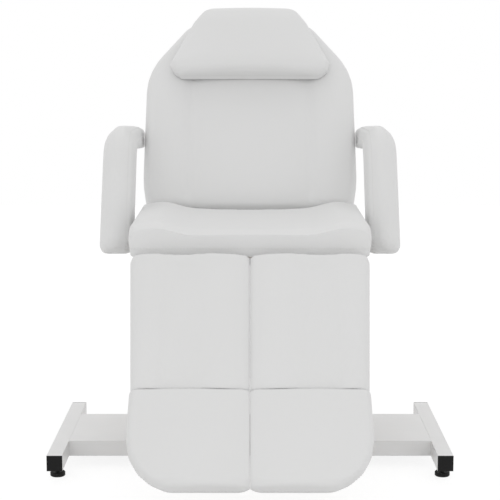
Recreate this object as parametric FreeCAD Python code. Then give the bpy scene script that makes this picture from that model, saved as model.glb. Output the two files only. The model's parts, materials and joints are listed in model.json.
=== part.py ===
import FreeCAD, Part
import math
import os
from FreeCAD import Vector

# Pedicure chair, facing -Y, left is -X. Every panel is first drawn lying flat as a bed, with Y = 0
# over the middle of the base, then turned about its own pivot into the photographed pose.

# Base
FLOOR_GAP = 30.0
RUNNER_SPREAD = 1000.0
RUNNER_LENGTH = 560.0
RUNNER_SIZE = 40.0
BEAM_FRONT = -140.0
BEAM_REAR = 146.0
BASE_WALL = 2.0
PLUG_FLANGE = 3.0
PLUG_DEPTH = 18.0

# Levelling glides
GLIDE_INSET = 60.0
GLIDE_RADIUS = 19.5
GLIDE_HEIGHT = 12.0
GLIDE_EDGE = 2.0
STEM_RADIUS = 5.0
STEM_TOP = 51.0
INSERT_RADIUS = 8.0
INSERT_FLANGE_RADIUS = 12.0
INSERT_FLANGE = 2.0
INSERT_HEIGHT = 14.0

# Posts
POST_SPREAD = 300.0
POST_WIDTH = 50.0
POST_DEPTH = 80.0
POST_Y = 66.0
POST_WALL = 2.5
PLATE_THICKNESS = 6.0
PLATE_WIDTH = 96.0
PLATE_DEPTH = 126.0
PLATE_BOLT_INSET = 12.0
BOLT_RADIUS = 5.0
BOLT_HEAD_RADIUS = 9.0
BOLT_HEAD_HEIGHT = 6.5

# Seat frame, around the height of the pivot axes
AXIS_HEIGHT = 555.0
LEG_AXIS_Y = -163.0
BACK_AXIS_Y = 405.0
SEAT_RAIL_SPREAD = 380.0
RAIL_WIDTH = 25.0
SEAT_RAIL_HEIGHT = 30.0
RAIL_WALL = 2.0
RAIL_END = 16.0
CROSS_SIZE = 25.0
CROSS_OVERHANG = 20.0
PIVOT_RADIUS = 7.0
RUNNING_FIT = 0.05
BOARD_THICKNESS = 12.0
BOARD_INSET = 22.0

# Seat cushion
SEAT_FRONT = -185.0
SEAT_REAR = 322.0
SEAT_REAR_LEAN = 42.0
SEAT_HALF_WIDTH = 316.0
SEAT_THICKNESS = 90.0
SEAT_SIDE_SWELL = 7.0
SEAT_BOLSTER_INNER = 165.0
SEAT_BOLSTER_CROWN = 10.0
SEAT_DISH = 13.0
NOSE_LENGTH = 44.0
NOSE_DROP = 27.0
NOSE_TUCK = 4.0
NOSE_CORNER = 12.0
NOSE_CROWN_DROP = 2.0
NOSE_DISH = 3.0

# Backrest
BACK_ANGLE = 54.0
BACK_RAIL_SPREAD = 320.0
BACK_RAIL_SIZE = 25.0
BACK_RAIL_LENGTH = 600.0
BACK_CROSS_PLACES = (195.0, 440.0)
BUSH_WALL = 2.0
BACK_START = 38.0
BACK_END = 700.0
BACK_THICKNESS = 87.0
BACK_HALF_WIDTH = 318.0
SHOULDER_START = 462.0
SHOULDER_RADIUS = 200.0
SHOULDER_TURN = 36.2
SHOULDER_SHARES = (0.0, 0.3, 0.6, 0.85, 1.0)
BACK_SIDE_SWELL = 16.0
BACK_VALLEY = 168.0
BACK_VALLEY_MARGIN = 70.0
BACK_CROWN = 9.0
BACK_PANEL_RISE = 5.0
BACK_END_ROUND = 24.0
BACK_WAIST_LENGTH = 130.0
BACK_WAIST_DRAW = 19.0
BACK_WAIST_SHARES = (0.35, 0.6, 0.8, 1.0)

# Head pillow, on the backrest
PILLOW_START = 480.0
PILLOW_WIDEST = 517.0
PILLOW_END = 727.0
PILLOW_HALF_WIDTH = 243.0
PILLOW_NECK = 668.0
PILLOW_NECK_HALF_WIDTH = 175.0
PILLOW_TOP_HALF_WIDTH = 118.0
PILLOW_LOW_HALF_WIDTH = 213.0
PILLOW_CHEEK_OUT = 14.0
PILLOW_CHEEK_HALF_WIDTH = 235.0
PILLOW_BROW_OUT = 26.0
PILLOW_BROW_HALF_WIDTH = 153.0
PILLOW_CROWN_OUT = 9.0
PILLOW_CROWN_HALF_WIDTH = 140.0
PILLOW_THICKNESS = 72.0
PILLOW_SWELL = 15.0
PILLOW_END_ROUND = 30.0
PILLOW_END_LIFT = 7.5
PILLOW_LOW_LIFT = 1.0
PILLOW_BROW_CROWN = 1.5
PILLOW_CROWN_SHARE = 0.3
SOFT_GAP = 0.3
STRAP_WIDTH = 180.0
STRAP_THICKNESS = 3.0
STRAP_DROP = 210.0

# Leg rests, seen from the leg pivot, outward along the leg
LEG_ANGLE = 45.0
LEG_START = 25.0
LEG_END = 417.0
LEG_THICKNESS = 82.0
LEG_HALF_GAP = 0.4
LEG_OUTER_START = 307.0
LEG_OUTER_END = 288.0
LEG_SIDE_SWELL = 13.0
LEG_CROWN = 8.0
TROUGH_DEPTH = 5.0
TROUGH_FROM = 128.0
TROUGH_TO = 212.0
LEG_TOP_ROUND = 11.0
LEG_END_ROUND = 20.0
LEG_END_CROWN_SHARE = 0.3
LEG_END_TUCK = 3.0
LEG_RAIL_INNER = 70.0
LEG_RAIL_OUTER = 222.0
LEG_RAIL_SIZE = 25.0
LEG_RAIL_START = 28.0
LEG_RAIL_END = 412.0
LEG_CROSS_PLACES = (78.0, 337.0)
LUG_THICKNESS = 5.0
LUG_RADIUS = 14.0
LUG_LENGTH = 59.0

# Foot rests, seen from the foot hinge
FOOT_TILT = 7.0
FOOT_AXIS_OUT = 433.0
FOOT_START = -14.0
FOOT_START_LEAN = -8.0
FOOT_LENGTH = 220.0
FOOT_OUTER = 293.0
FOOT_OUTER_START = 291.5
FOOT_SWELL_LENGTH = 55.0
FOOT_OUTER_CORNER = 118.0
FOOT_INNER_CORNER = 20.0
FOOT_THICKNESS = 80.0
FOOT_CROWN = 12.0
FOOT_START_CROWN = 3.0
FOOT_CROWN_LENGTH = 70.0
FOOT_SIDE_SWELL = 13.0
FOOT_END_ROUND = 16.0
FOOT_TOE_LENGTH = 35.0
FOOT_TOE_DROP = 25.6
FOOT_UNDER_LIFT = 4.8
FOOT_CORNER_TURNS = (0.0, 20.0, 40.0, 58.0, 74.0)
FOOT_TIP = 1.2
SLIDE_SIZE = 20.0
SLIDE_WALL = 1.5
SLIDE_INSERTED = 160.0
SLIDE_EYE = 7.0
SLIDE_BAR = 6.0
SLIDE_SCREW_INSET = 25.0
FOOT_PIN_RADIUS = 5.0
STRINGER_LENGTH = 170.0
STRINGER_THICKNESS = 5.0
FOOT_BOARD_INSET = 24.0

# Armrests, their heights counted from the pivot axes
ARM_GAP = 7.0
ARM_WIDTH = 94.0
ARM_UNDER = 25.0
ARM_CREST = 43.0
ARM_UNDER_SHARE = 0.86
ARM_SHOULDER_SHARE = 0.96
ARM_RIDGE_SHARE = 0.46
ARM_LOW_Y = 100.0
ARM_LOW_RISE = -16.0
ARM_CORNER_Y = 271.0
ARM_CORNER_RISE = 282.0
ARM_REAR_Y = 655.0
ARM_REAR_RISE = 259.0
ARM_BEND_RADIUS = 84.0
ARM_END_ROUND = 28.0
ARM_END_SIDE_SHARE = 0.8
ARM_END_UNDER_SHARE = 0.7
ARM_END_CREST_SHARE = 0.9
ARM_REAR_FULLNESS = 0.4
ARM_BEND_STEPS = 6
ARM_BROW_SHARE = 0.68
ARM_BROW_WIDTH_SHARE = 0.77
ARM_BROW_LOW_SHARE = 0.39
ARM_WAIST_SHARE = 0.6
ARM_PIVOT_UP = 42.0
CORE_THICKNESS = 8.0
CORE_WIDTH = 30.0
CORE_INSET = 11.0
CORE_TAIL_INSET = 60.0
ARM_PLATE_THICKNESS = 5.0
ARM_PLATE_GAP = 2.5
ARM_PLATE_RADIUS = 15.0
ARM_BOLT_RADIUS = 6.0
ARM_BOLT_HEAD_RADIUS = 11.0
ARM_BOLT_HEAD = 6.0
ARM_BORE_RADIUS = 13.0

# Slotted quadrants with their clamp screws
QUADRANT_THICKNESS = 4.0
QUADRANT_RIM = 14.0
QUADRANT_MARGIN = 9.0
SLOT_CLEARANCE = 0.3
CLAMP_RADIUS = 5.0
CLAMP_PLATE = 4.0
BACK_SLOT_RADIUS = 90.0
BACK_BOLT_POLAR = -100.0
BACK_FORWARD = 10.0
LEG_SLOT_RADIUS = 80.0
LEG_BOLT_POLAR = -80.0
SLOT_SPARE = 2.0
CLAMP_HEAD_RADIUS = 9.0
CLAMP_HEAD = 6.0
CLAMP_GRIP = 18.0
SIDE_GAP = 1.0
KNOB_RADIUS = 19.0
KNOB_LENGTH = 26.0
KNOB_LOBES = 6
KNOB_SCOOP_RADIUS = 8.0
KNOB_SCOOP_OUT = 5.0
KNOB_COLLAR = 6.0
SLIDE_KNOB_RADIUS = 14.0
SLIDE_KNOB_LENGTH = 16.0
LEVER_LENGTH = 105.0
LEVER_HUB_RADIUS = 13.0
LEVER_GRIP_RADIUS = 9.0
LEVER_BALL_RADIUS = 11.7
LEVER_POLAR = -30.0

ROUND_STEPS = 3


def box(x0, x1, y0, y1, z0, z1):
    return Part.makeBox(x1 - x0, y1 - y0, z1 - z0, Vector(x0, y0, z0))


def tube(x0, x1, y0, y1, z0, z1, wall, along):
    """A rectangular tube, open at both ends along one of the letters xyz."""
    skin = {letter: 0.0 if letter == along else wall for letter in "xyz"}
    bore = box(
        x0 + skin["x"], x1 - skin["x"],
        y0 + skin["y"], y1 - skin["y"],
        z0 + skin["z"], z1 - skin["z"],
    )
    return box(x0, x1, y0, y1, z0, z1).cut(bore)


def rod_x(radius, x0, x1, y, z):
    return Part.makeCylinder(radius, x1 - x0, Vector(x0, y, z), Vector(1, 0, 0))


def rod_z(radius, x, y, z0, z1):
    return Part.makeCylinder(radius, z1 - z0, Vector(x, y, z0), Vector(0, 0, 1))


def mirrored(shape):
    return shape.mirror(Vector(0, 0, 0), Vector(1, 0, 0))


def both_sides(shape):
    return Part.makeCompound([shape, mirrored(shape)])


def fused(shapes):
    return shapes[0].multiFuse(shapes[1:]).removeSplitter()


def wire(start, steps):
    """A closed wire of lines, given by their end, and arcs, given by their middle and end."""
    edges = []
    here = start
    for step in steps:
        if len(step) == 1:
            edges.append(Part.makeLine(here, step[0]))
        else:
            edges.append(Part.Arc(here, step[0], step[1]).toShape())
        here = step[-1]
    return Part.Wire(edges)


def section(y, x0, x1, z0, z1, swell, crown, tops, lean=0.0):
    """One slice across a cushion: flat below, swelling sides, and arcs across its top.

    tops lists the arcs from the x1 side, each with where it ends and how high its middle rises
    above the line that joins the arc ends. lean moves the slice's top along y.
    """
    level = z1 - crown

    def at(x, z):
        return Vector(x, y + lean * (z - z0) / (z1 - z0), z)

    steps = [
        (at(x1 - swell, z0),),
        (at(x1, (z0 + level) / 2), at(x1 - swell, level)),
    ]
    here = x1 - swell
    for end, rise in tops:
        steps.append((at((here + end) / 2, level + rise), at(end, level)))
        here = end
    steps.append((at(x0, (z0 + level) / 2), at(x0 + swell, z0)))
    return wire(at(x0 + swell, z0), steps)


def loft(sections):
    return Part.makeLoft(sections, True, True)


def quarter_steps():
    """Places along a quarter round, as shares of its radius: how far in, and how much drawn in."""
    turns = [math.radians(90.0 * k / ROUND_STEPS) for k in range(ROUND_STEPS + 1)]
    return [(1 - math.cos(turn), 1 - math.sin(turn)) for turn in turns]


def stations(start, end, radius, between=(), start_radius=None):
    """Places along a cushion with round ends, each with the share that it is drawn in there."""
    if start_radius is None:
        start_radius = radius
    first = [(start + start_radius * along, inward) for along, inward in quarter_steps()]
    last = [(end - radius * along, inward) for along, inward in reversed(quarter_steps())]
    return first + [(place, 0.0) for place in between] + last


def polar(radius, degrees, y, z):
    turn = math.radians(degrees)
    return Vector(0, y + radius * math.cos(turn), z + radius * math.sin(turn))


def sector(x0, x1, radius_in, radius_out, low, high, y, z):
    """A ring sector between two polar angles about an axis along x."""
    middle = (low + high) / 2
    outline = wire(
        polar(radius_in, low, y, z),
        [
            (polar(radius_out, low, y, z),),
            (polar(radius_out, middle, y, z), polar(radius_out, high, y, z)),
            (polar(radius_in, high, y, z),),
            (polar(radius_in, middle, y, z), polar(radius_in, low, y, z)),
        ],
    )
    outline.translate(Vector(x0, 0, 0))
    return Part.Face(outline).extrude(Vector(x1 - x0, 0, 0))


def slot(x0, x1, radius, low, high, y, z):
    """An arc slot for a clamp screw, with round ends."""
    half = CLAMP_RADIUS + SLOT_CLEARANCE
    ends = [polar(radius, turn, y, z) for turn in (low, high)]
    rounds = [rod_x(half, x0, x1, end.y, end.z) for end in ends]
    return fused([sector(x0, x1, radius - half, radius + half, low, high, y, z)] + rounds)


def about_x(shape, degrees, y, z):
    turned = shape.copy()
    turned.rotate(Vector(0, y, z), Vector(1, 0, 0), degrees)
    return turned


# Heights that several pieces share
RUNNER_TOP = FLOOR_GAP + RUNNER_SIZE
SEAT_RAIL_LOW = AXIS_HEIGHT - SEAT_RAIL_HEIGHT / 2
SEAT_RAIL_TOP = AXIS_HEIGHT + SEAT_RAIL_HEIGHT / 2
SEAT_BASE = SEAT_RAIL_TOP
CROSS_LOW = SEAT_RAIL_LOW - CROSS_SIZE
POST_LOW = RUNNER_TOP + PLATE_THICKNESS
POST_HIGH = CROSS_LOW - PLATE_THICKNESS
BACK_BASE = AXIS_HEIGHT + BACK_RAIL_SIZE / 2
BACK_TOP = BACK_BASE + BACK_THICKNESS
LEG_RAIL_TOP = AXIS_HEIGHT - BOARD_THICKNESS
LEG_BASE = LEG_RAIL_TOP
LEG_RAIL_LOW = LEG_RAIL_TOP - LEG_RAIL_SIZE
FOOT_AXIS_Y = LEG_AXIS_Y - FOOT_AXIS_OUT
SLIDE_SCREW_Y = LEG_AXIS_Y - LEG_RAIL_END + SLIDE_SCREW_INSET
FOOT_AXIS_Z = (LEG_RAIL_TOP + LEG_RAIL_LOW) / 2
SEAT_RAIL_OUTER = SEAT_RAIL_SPREAD / 2 + RAIL_WIDTH / 2
SEAT_RAIL_INNER = SEAT_RAIL_SPREAD / 2 - RAIL_WIDTH / 2
LEG_QUADRANT_X1 = LEG_RAIL_OUTER - LEG_RAIL_SIZE / 2
LEG_QUADRANT_X0 = LEG_QUADRANT_X1 - LUG_THICKNESS
BACK_QUADRANT_X0 = BACK_RAIL_SPREAD / 2 + BACK_RAIL_SIZE / 2
BACK_QUADRANT_X1 = BACK_QUADRANT_X0 + QUADRANT_THICKNESS
ARM_INNER = SEAT_HALF_WIDTH + ARM_GAP
ARM_MIDDLE = ARM_INNER + ARM_WIDTH / 2
ARM_PLATE_X1 = ARM_INNER - ARM_PLATE_GAP
ARM_PLATE_X0 = ARM_PLATE_X1 - ARM_PLATE_THICKNESS
CORE_X0 = ARM_INNER + CORE_INSET
CORE_X1 = CORE_X0 + CORE_THICKNESS
LEG_KNOB_SEAT = LEG_QUADRANT_X1 + SOFT_GAP
LEVER_SEAT = SEAT_RAIL_INNER + CLAMP_PLATE + SOFT_GAP

# Places in the armrest's middle plane
ARM_LOW = Vector(0, ARM_LOW_Y, AXIS_HEIGHT + ARM_LOW_RISE)
ARM_CORNER = Vector(0, ARM_CORNER_Y, AXIS_HEIGHT + ARM_CORNER_RISE)
ARM_REAR = Vector(0, ARM_REAR_Y, AXIS_HEIGHT + ARM_REAR_RISE)


def arm_directions():
    """Unit vectors up the arm's post and back along its top."""
    return (ARM_CORNER - ARM_LOW).normalize(), (ARM_REAR - ARM_CORNER).normalize()


ARM_UP, ARM_BACK = arm_directions()
ARM_AXIS = ARM_LOW + ARM_UP * ARM_PIVOT_UP
BACK_BOLT = polar(BACK_SLOT_RADIUS, BACK_BOLT_POLAR, BACK_AXIS_Y, AXIS_HEIGHT)
LEG_BOLT = polar(LEG_SLOT_RADIUS, LEG_BOLT_POLAR, LEG_AXIS_Y, AXIS_HEIGHT)


# Base frame
def runner():
    x0 = -RUNNER_SPREAD / 2 - RUNNER_SIZE / 2
    body = tube(
        x0, x0 + RUNNER_SIZE, -RUNNER_LENGTH / 2, RUNNER_LENGTH / 2,
        FLOOR_GAP, RUNNER_TOP, BASE_WALL, "y",
    )
    for y in glide_places():
        hole = rod_z(INSERT_RADIUS, -RUNNER_SPREAD / 2, y, FLOOR_GAP - 1, FLOOR_GAP + BASE_WALL + 1)
        body = body.cut(hole)
    return body


def glide_places():
    y = RUNNER_LENGTH / 2 - GLIDE_INSET
    return [-y, y]


def end_plugs():
    """The four plugs in the open ends of the runners."""
    plugs = []
    half = RUNNER_SIZE / 2
    core = half - BASE_WALL
    for x in (-RUNNER_SPREAD / 2, RUNNER_SPREAD / 2):
        for way in (-1, 1):
            end = way * RUNNER_LENGTH / 2
            inside = sorted((end - way * PLUG_DEPTH, end))
            outside = sorted((end, end + way * PLUG_FLANGE))
            middle = FLOOR_GAP + half
            insert = box(x - core, x + core, inside[0], inside[1], middle - core, middle + core)
            flange = box(x - half, x + half, outside[0], outside[1], FLOOR_GAP, RUNNER_TOP)
            plugs.append(fused([insert, flange]))
    return Part.makeCompound(plugs)


def beam():
    half = RUNNER_SPREAD / 2 - RUNNER_SIZE / 2
    return tube(-half, half, BEAM_FRONT, BEAM_REAR, FLOOR_GAP, RUNNER_TOP, BASE_WALL, "x")


def glide_inserts():
    inserts = []
    for x in (-RUNNER_SPREAD / 2, RUNNER_SPREAD / 2):
        for y in glide_places():
            flange = rod_z(INSERT_FLANGE_RADIUS, x, y, FLOOR_GAP - INSERT_FLANGE, FLOOR_GAP)
            sleeve = rod_z(INSERT_RADIUS, x, y, FLOOR_GAP, FLOOR_GAP + INSERT_HEIGHT)
            bore = rod_z(STEM_RADIUS + RUNNING_FIT, x, y, 0, RUNNER_TOP)
            inserts.append(fused([flange, sleeve]).cut(bore))
    return Part.makeCompound(inserts)


def glide(x, y):
    """A round foot with its stem."""
    disc = rod_z(GLIDE_RADIUS, x, y, 0, GLIDE_HEIGHT)
    disc = disc.makeChamfer(GLIDE_EDGE, [e for e in disc.Edges if e.Length > GLIDE_RADIUS * 4])
    return fused([disc, rod_z(STEM_RADIUS, x, y, GLIDE_HEIGHT, STEM_TOP)])


# Posts between the base and the seat frame
def post():
    x = -POST_SPREAD / 2
    return tube(
        x - POST_WIDTH / 2, x + POST_WIDTH / 2, POST_Y - POST_DEPTH / 2, POST_Y + POST_DEPTH / 2,
        POST_LOW, POST_HIGH, POST_WALL, "z",
    )


def plate_bolt_places(x):
    dx = PLATE_WIDTH / 2 - PLATE_BOLT_INSET
    dy = PLATE_DEPTH / 2 - PLATE_BOLT_INSET
    return [(x + sx * dx, POST_Y + sy * dy) for sx in (-1, 1) for sy in (-1, 1)]


def post_plates():
    """Foot and head plates of both posts; the foot plates are drilled for the bolts."""
    plates = []
    for x in (-POST_SPREAD / 2, POST_SPREAD / 2):
        for low in (RUNNER_TOP, POST_HIGH):
            plate = box(
                x - PLATE_WIDTH / 2, x + PLATE_WIDTH / 2,
                POST_Y - PLATE_DEPTH / 2, POST_Y + PLATE_DEPTH / 2,
                low, low + PLATE_THICKNESS,
            )
            if low == RUNNER_TOP:
                for bx, by in plate_bolt_places(x):
                    plate = plate.cut(rod_z(BOLT_RADIUS, bx, by, low - 1, low + PLATE_THICKNESS + 1))
            plates.append(plate)
    return Part.makeCompound(plates)


def post_bolts():
    """Hexagon heads on the foot plates, with shanks down to the top of the beam."""
    bolts = []
    for x in (-POST_SPREAD / 2, POST_SPREAD / 2):
        for bx, by in plate_bolt_places(x):
            seat = RUNNER_TOP + PLATE_THICKNESS
            corners = [
                Vector(bx + BOLT_HEAD_RADIUS * math.cos(math.radians(60 * k)),
                       by + BOLT_HEAD_RADIUS * math.sin(math.radians(60 * k)), seat)
                for k in range(7)
            ]
            head = Part.Face(Part.makePolygon(corners)).extrude(Vector(0, 0, BOLT_HEAD_HEIGHT))
            bolts.append(fused([head, rod_z(BOLT_RADIUS, bx, by, RUNNER_TOP, seat)]))
    return Part.makeCompound(bolts)


# Seat frame
def seat_rail():
    x = -SEAT_RAIL_SPREAD / 2
    body = tube(
        x - RAIL_WIDTH / 2, x + RAIL_WIDTH / 2, LEG_AXIS_Y - RAIL_END, BACK_AXIS_Y + RAIL_END,
        SEAT_RAIL_LOW, SEAT_RAIL_TOP, RAIL_WALL, "y",
    )
    for y in (LEG_AXIS_Y, BACK_AXIS_Y):
        body = body.cut(rod_x(PIVOT_RADIUS, x - RAIL_WIDTH, x + RAIL_WIDTH, y, AXIS_HEIGHT))
    return body


def seat_cross_tubes():
    """Two tubes on the posts and a longer one that carries the armrests."""
    reach = SEAT_RAIL_OUTER + CROSS_OVERHANG
    edge = POST_DEPTH / 2 - CROSS_SIZE / 2
    runs = [(POST_Y - edge, reach), (POST_Y + edge - CROSS_SIZE, reach), (ARM_AXIS.y, ARM_PLATE_X0)]
    return Part.makeCompound([
        tube(
            -half, half, y - CROSS_SIZE / 2, y + CROSS_SIZE / 2,
            CROSS_LOW, SEAT_RAIL_LOW, RAIL_WALL, "x",
        )
        for y, half in runs
    ])


def seat_board():
    half = SEAT_HALF_WIDTH - BOARD_INSET
    front = SEAT_FRONT + BOARD_INSET
    return box(-half, half, front, SEAT_REAR, SEAT_BASE, SEAT_BASE + BOARD_THICKNESS)


def seat_cushion():
    """Dished between two bolsters, with a waterfall nose and a rear end that leans forward."""
    top = SEAT_BASE + SEAT_THICKNESS
    sections = []
    for along, inward in quarter_steps():
        y = SEAT_FRONT + NOSE_LENGTH * along
        half = SEAT_HALF_WIDTH - NOSE_CORNER * inward
        low = SEAT_BASE + NOSE_TUCK * inward
        high = top - NOSE_DROP * inward - NOSE_CROWN_DROP * (1 - along)
        dish = NOSE_DISH + (SEAT_DISH - NOSE_DISH) * along
        sections.append(seat_section(y, half, low, high, dish, 0.0))
    lean_start = SEAT_REAR - SEAT_REAR_LEAN
    sections.append(seat_section(lean_start, SEAT_HALF_WIDTH, SEAT_BASE, top, SEAT_DISH, 0.0))
    rear = SEAT_REAR + SEAT_REAR_LEAN
    for along, inward in reversed(quarter_steps()):
        y = rear - SEAT_SIDE_SWELL * along
        half = SEAT_HALF_WIDTH - SEAT_SIDE_SWELL * inward
        high = top - SEAT_SIDE_SWELL * inward
        sections.append(seat_section(y, half, SEAT_BASE, high, SEAT_DISH, -SEAT_REAR_LEAN))
    return loft(sections).cut(seat_board())


def seat_section(y, half, low, high, dish, lean):
    tops = [
        (SEAT_BOLSTER_INNER, SEAT_BOLSTER_CROWN),
        (-SEAT_BOLSTER_INNER, -dish),
        (-half + SEAT_SIDE_SWELL, SEAT_BOLSTER_CROWN),
    ]
    return section(y, -half, half, low, high, SEAT_SIDE_SWELL, SEAT_BOLSTER_CROWN, tops, lean)


def pivot_rod(y, half):
    return rod_x(PIVOT_RADIUS, -half, half, y, AXIS_HEIGHT)


def clamp_plate(x0, bolt):
    """A plate under a seat rail that carries a clamp screw."""
    half = CLAMP_RADIUS + QUADRANT_MARGIN
    body = fused([
        box(x0, x0 + CLAMP_PLATE, bolt.y - half, bolt.y + half, bolt.z, SEAT_RAIL_LOW),
        rod_x(half, x0, x0 + CLAMP_PLATE, bolt.y, bolt.z),
    ])
    return body.cut(rod_x(CLAMP_RADIUS + RUNNING_FIT, x0 - 1, x0 + CLAMP_PLATE + 1, bolt.y, bolt.z))


def clamp_plates():
    leg = clamp_plate(SEAT_RAIL_OUTER - CLAMP_PLATE, LEG_BOLT)
    return Part.makeCompound([leg, mirrored(leg), clamp_plate(SEAT_RAIL_INNER, BACK_BOLT)])


# Backrest, drawn flat behind the back pivot
def back_half_width(out):
    """Half the width of the backrest at a distance from its pivot."""
    turn = math.radians(SHOULDER_TURN)
    arc_end = SHOULDER_START + SHOULDER_RADIUS * math.sin(turn)
    if out <= SHOULDER_START:
        above = min(1.0, max(0.0, (out - BACK_START) / BACK_WAIST_LENGTH))
        return BACK_HALF_WIDTH - BACK_WAIST_DRAW * (1 - above) ** 2
    if out <= arc_end:
        drop = SHOULDER_RADIUS**2 - (out - SHOULDER_START) ** 2
        return BACK_HALF_WIDTH - SHOULDER_RADIUS + math.sqrt(drop)
    fallen = SHOULDER_RADIUS * (1 - math.cos(turn))
    return BACK_HALF_WIDTH - fallen - (out - arc_end) * math.tan(turn)


def back_section(out, inward):
    half = back_half_width(out) - BACK_SIDE_SWELL * inward
    valley = min(BACK_VALLEY, half - BACK_VALLEY_MARGIN)
    top = BACK_TOP - BACK_END_ROUND * inward
    tops = [
        (valley, BACK_CROWN),
        (-valley, BACK_PANEL_RISE),
        (-half + BACK_SIDE_SWELL, BACK_CROWN),
    ]
    return section(
        BACK_AXIS_Y + out, -half, half, BACK_BASE, top, BACK_SIDE_SWELL, BACK_CROWN, tops
    )


def back_cushion():
    arc = SHOULDER_RADIUS * math.sin(math.radians(SHOULDER_TURN))
    between = [BACK_START + BACK_WAIST_LENGTH * share for share in BACK_WAIST_SHARES]
    between += [SHOULDER_START + arc * share for share in SHOULDER_SHARES]
    places = stations(BACK_START, BACK_END, BACK_END_ROUND, between)
    return loft([back_section(out, inward) for out, inward in places]).cut(back_board())


def back_board():
    """A board that follows the backrest outline a little inside it."""
    corners = [BACK_START + BOARD_INSET, SHOULDER_START, BACK_END - BOARD_INSET]
    arc_middle = SHOULDER_START + SHOULDER_RADIUS * math.sin(math.radians(SHOULDER_TURN)) / 2
    outs = [corners[0], corners[1], arc_middle, corners[2]]
    right = [Vector(back_half_width(o) - BOARD_INSET, BACK_AXIS_Y + o, 0) for o in outs]
    left = [Vector(-p.x, p.y, 0) for p in reversed(right)]
    face = Part.Face(Part.makePolygon(right + left + right[:1]))
    face.translate(Vector(0, 0, BACK_BASE))
    return face.extrude(Vector(0, 0, BOARD_THICKNESS))


def back_rail():
    x = -BACK_RAIL_SPREAD / 2
    half = BACK_RAIL_SIZE / 2
    body = tube(
        x - half, x + half, BACK_AXIS_Y - RAIL_END, BACK_AXIS_Y + BACK_RAIL_LENGTH,
        AXIS_HEIGHT - half, AXIS_HEIGHT + half, RAIL_WALL, "y",
    )
    return body.cut(rod_x(bush_radius(), x - 2 * half, x + 2 * half, BACK_AXIS_Y, AXIS_HEIGHT))


def bush_radius():
    return PIVOT_RADIUS + BUSH_WALL


def back_bushes():
    x = -BACK_RAIL_SPREAD / 2
    half = BACK_RAIL_SIZE / 2
    body = rod_x(bush_radius(), x - half, x + half, BACK_AXIS_Y, AXIS_HEIGHT)
    bore = rod_x(PIVOT_RADIUS + RUNNING_FIT, x - 2 * half, x + 2 * half, BACK_AXIS_Y, AXIS_HEIGHT)
    return both_sides(body.cut(bore))


def back_cross_tubes():
    half_size = BACK_RAIL_SIZE / 2
    half = BACK_RAIL_SPREAD / 2 - half_size
    return Part.makeCompound([
        tube(
            -half, half, BACK_AXIS_Y + out - half_size, BACK_AXIS_Y + out + half_size,
            AXIS_HEIGHT - half_size, AXIS_HEIGHT + half_size, RAIL_WALL, "x",
        )
        for out in BACK_CROSS_PLACES
    ])


def back_quadrant():
    """Plate on the right back rail, with a slot that passes the clamp screw as it turns."""
    low = BACK_BOLT_POLAR - BACK_ANGLE - BACK_FORWARD
    high = BACK_BOLT_POLAR
    rim_low = low - SLOT_SPARE - degrees_of(CLAMP_RADIUS + QUADRANT_MARGIN, BACK_SLOT_RADIUS)
    rim_high = high + SLOT_SPARE + degrees_of(CLAMP_RADIUS + QUADRANT_MARGIN, BACK_SLOT_RADIUS)
    x0, x1 = BACK_QUADRANT_X0, BACK_QUADRANT_X1
    y, z = BACK_AXIS_Y, AXIS_HEIGHT
    half = BACK_RAIL_SIZE / 2
    plate = fused([
        sector(x0, x1, half, BACK_SLOT_RADIUS + QUADRANT_RIM, rim_low, rim_high, y, z),
        rod_x(half, x0, x1, y, z),
        box(x0, x1, y, y + BACK_SLOT_RADIUS, z - half, z + half),
        web(x0, x1, rim_high, y, z, BACK_SLOT_RADIUS, half),
    ])
    hole = rod_x(bush_radius(), x0 - 1, x1 + 1, y, z)
    way = slot(x0 - 1, x1 + 1, BACK_SLOT_RADIUS, low - SLOT_SPARE, high + SLOT_SPARE, y, z)
    return plate.cut(hole).cut(way)


def web(x0, x1, turn, y, z, reach, half):
    """The corner between a quadrant and the rail that it is welded to."""
    corner = polar(reach, turn, y, z)
    corners = [
        Vector(x0, y, z), Vector(x0, corner.y, corner.z),
        Vector(x0, y + reach, z - half), Vector(x0, y, z),
    ]
    return Part.Face(Part.makePolygon(corners)).extrude(Vector(x1 - x0, 0, 0))


def degrees_of(length, radius):
    return math.degrees(length / radius)


# Head pillow and its strap
def pillow_half_width(out):
    """Half the width of the pillow: round lower corners, sides drawn together, a narrow top."""
    points = [
        (PILLOW_START, PILLOW_LOW_HALF_WIDTH),
        (PILLOW_START + PILLOW_CHEEK_OUT, PILLOW_CHEEK_HALF_WIDTH),
        (PILLOW_WIDEST, PILLOW_HALF_WIDTH),
        (PILLOW_NECK, PILLOW_NECK_HALF_WIDTH),
        (PILLOW_END - PILLOW_BROW_OUT, PILLOW_BROW_HALF_WIDTH),
        (PILLOW_END - PILLOW_CROWN_OUT, PILLOW_CROWN_HALF_WIDTH),
        (PILLOW_END, PILLOW_TOP_HALF_WIDTH),
    ]
    for (a, wa), (b, wb) in zip(points, points[1:]):
        if out <= b:
            return wa + (wb - wa) * max(0.0, out - a) / (b - a)
    return PILLOW_TOP_HALF_WIDTH


def pillow_low():
    return BACK_TOP + SOFT_GAP


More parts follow.
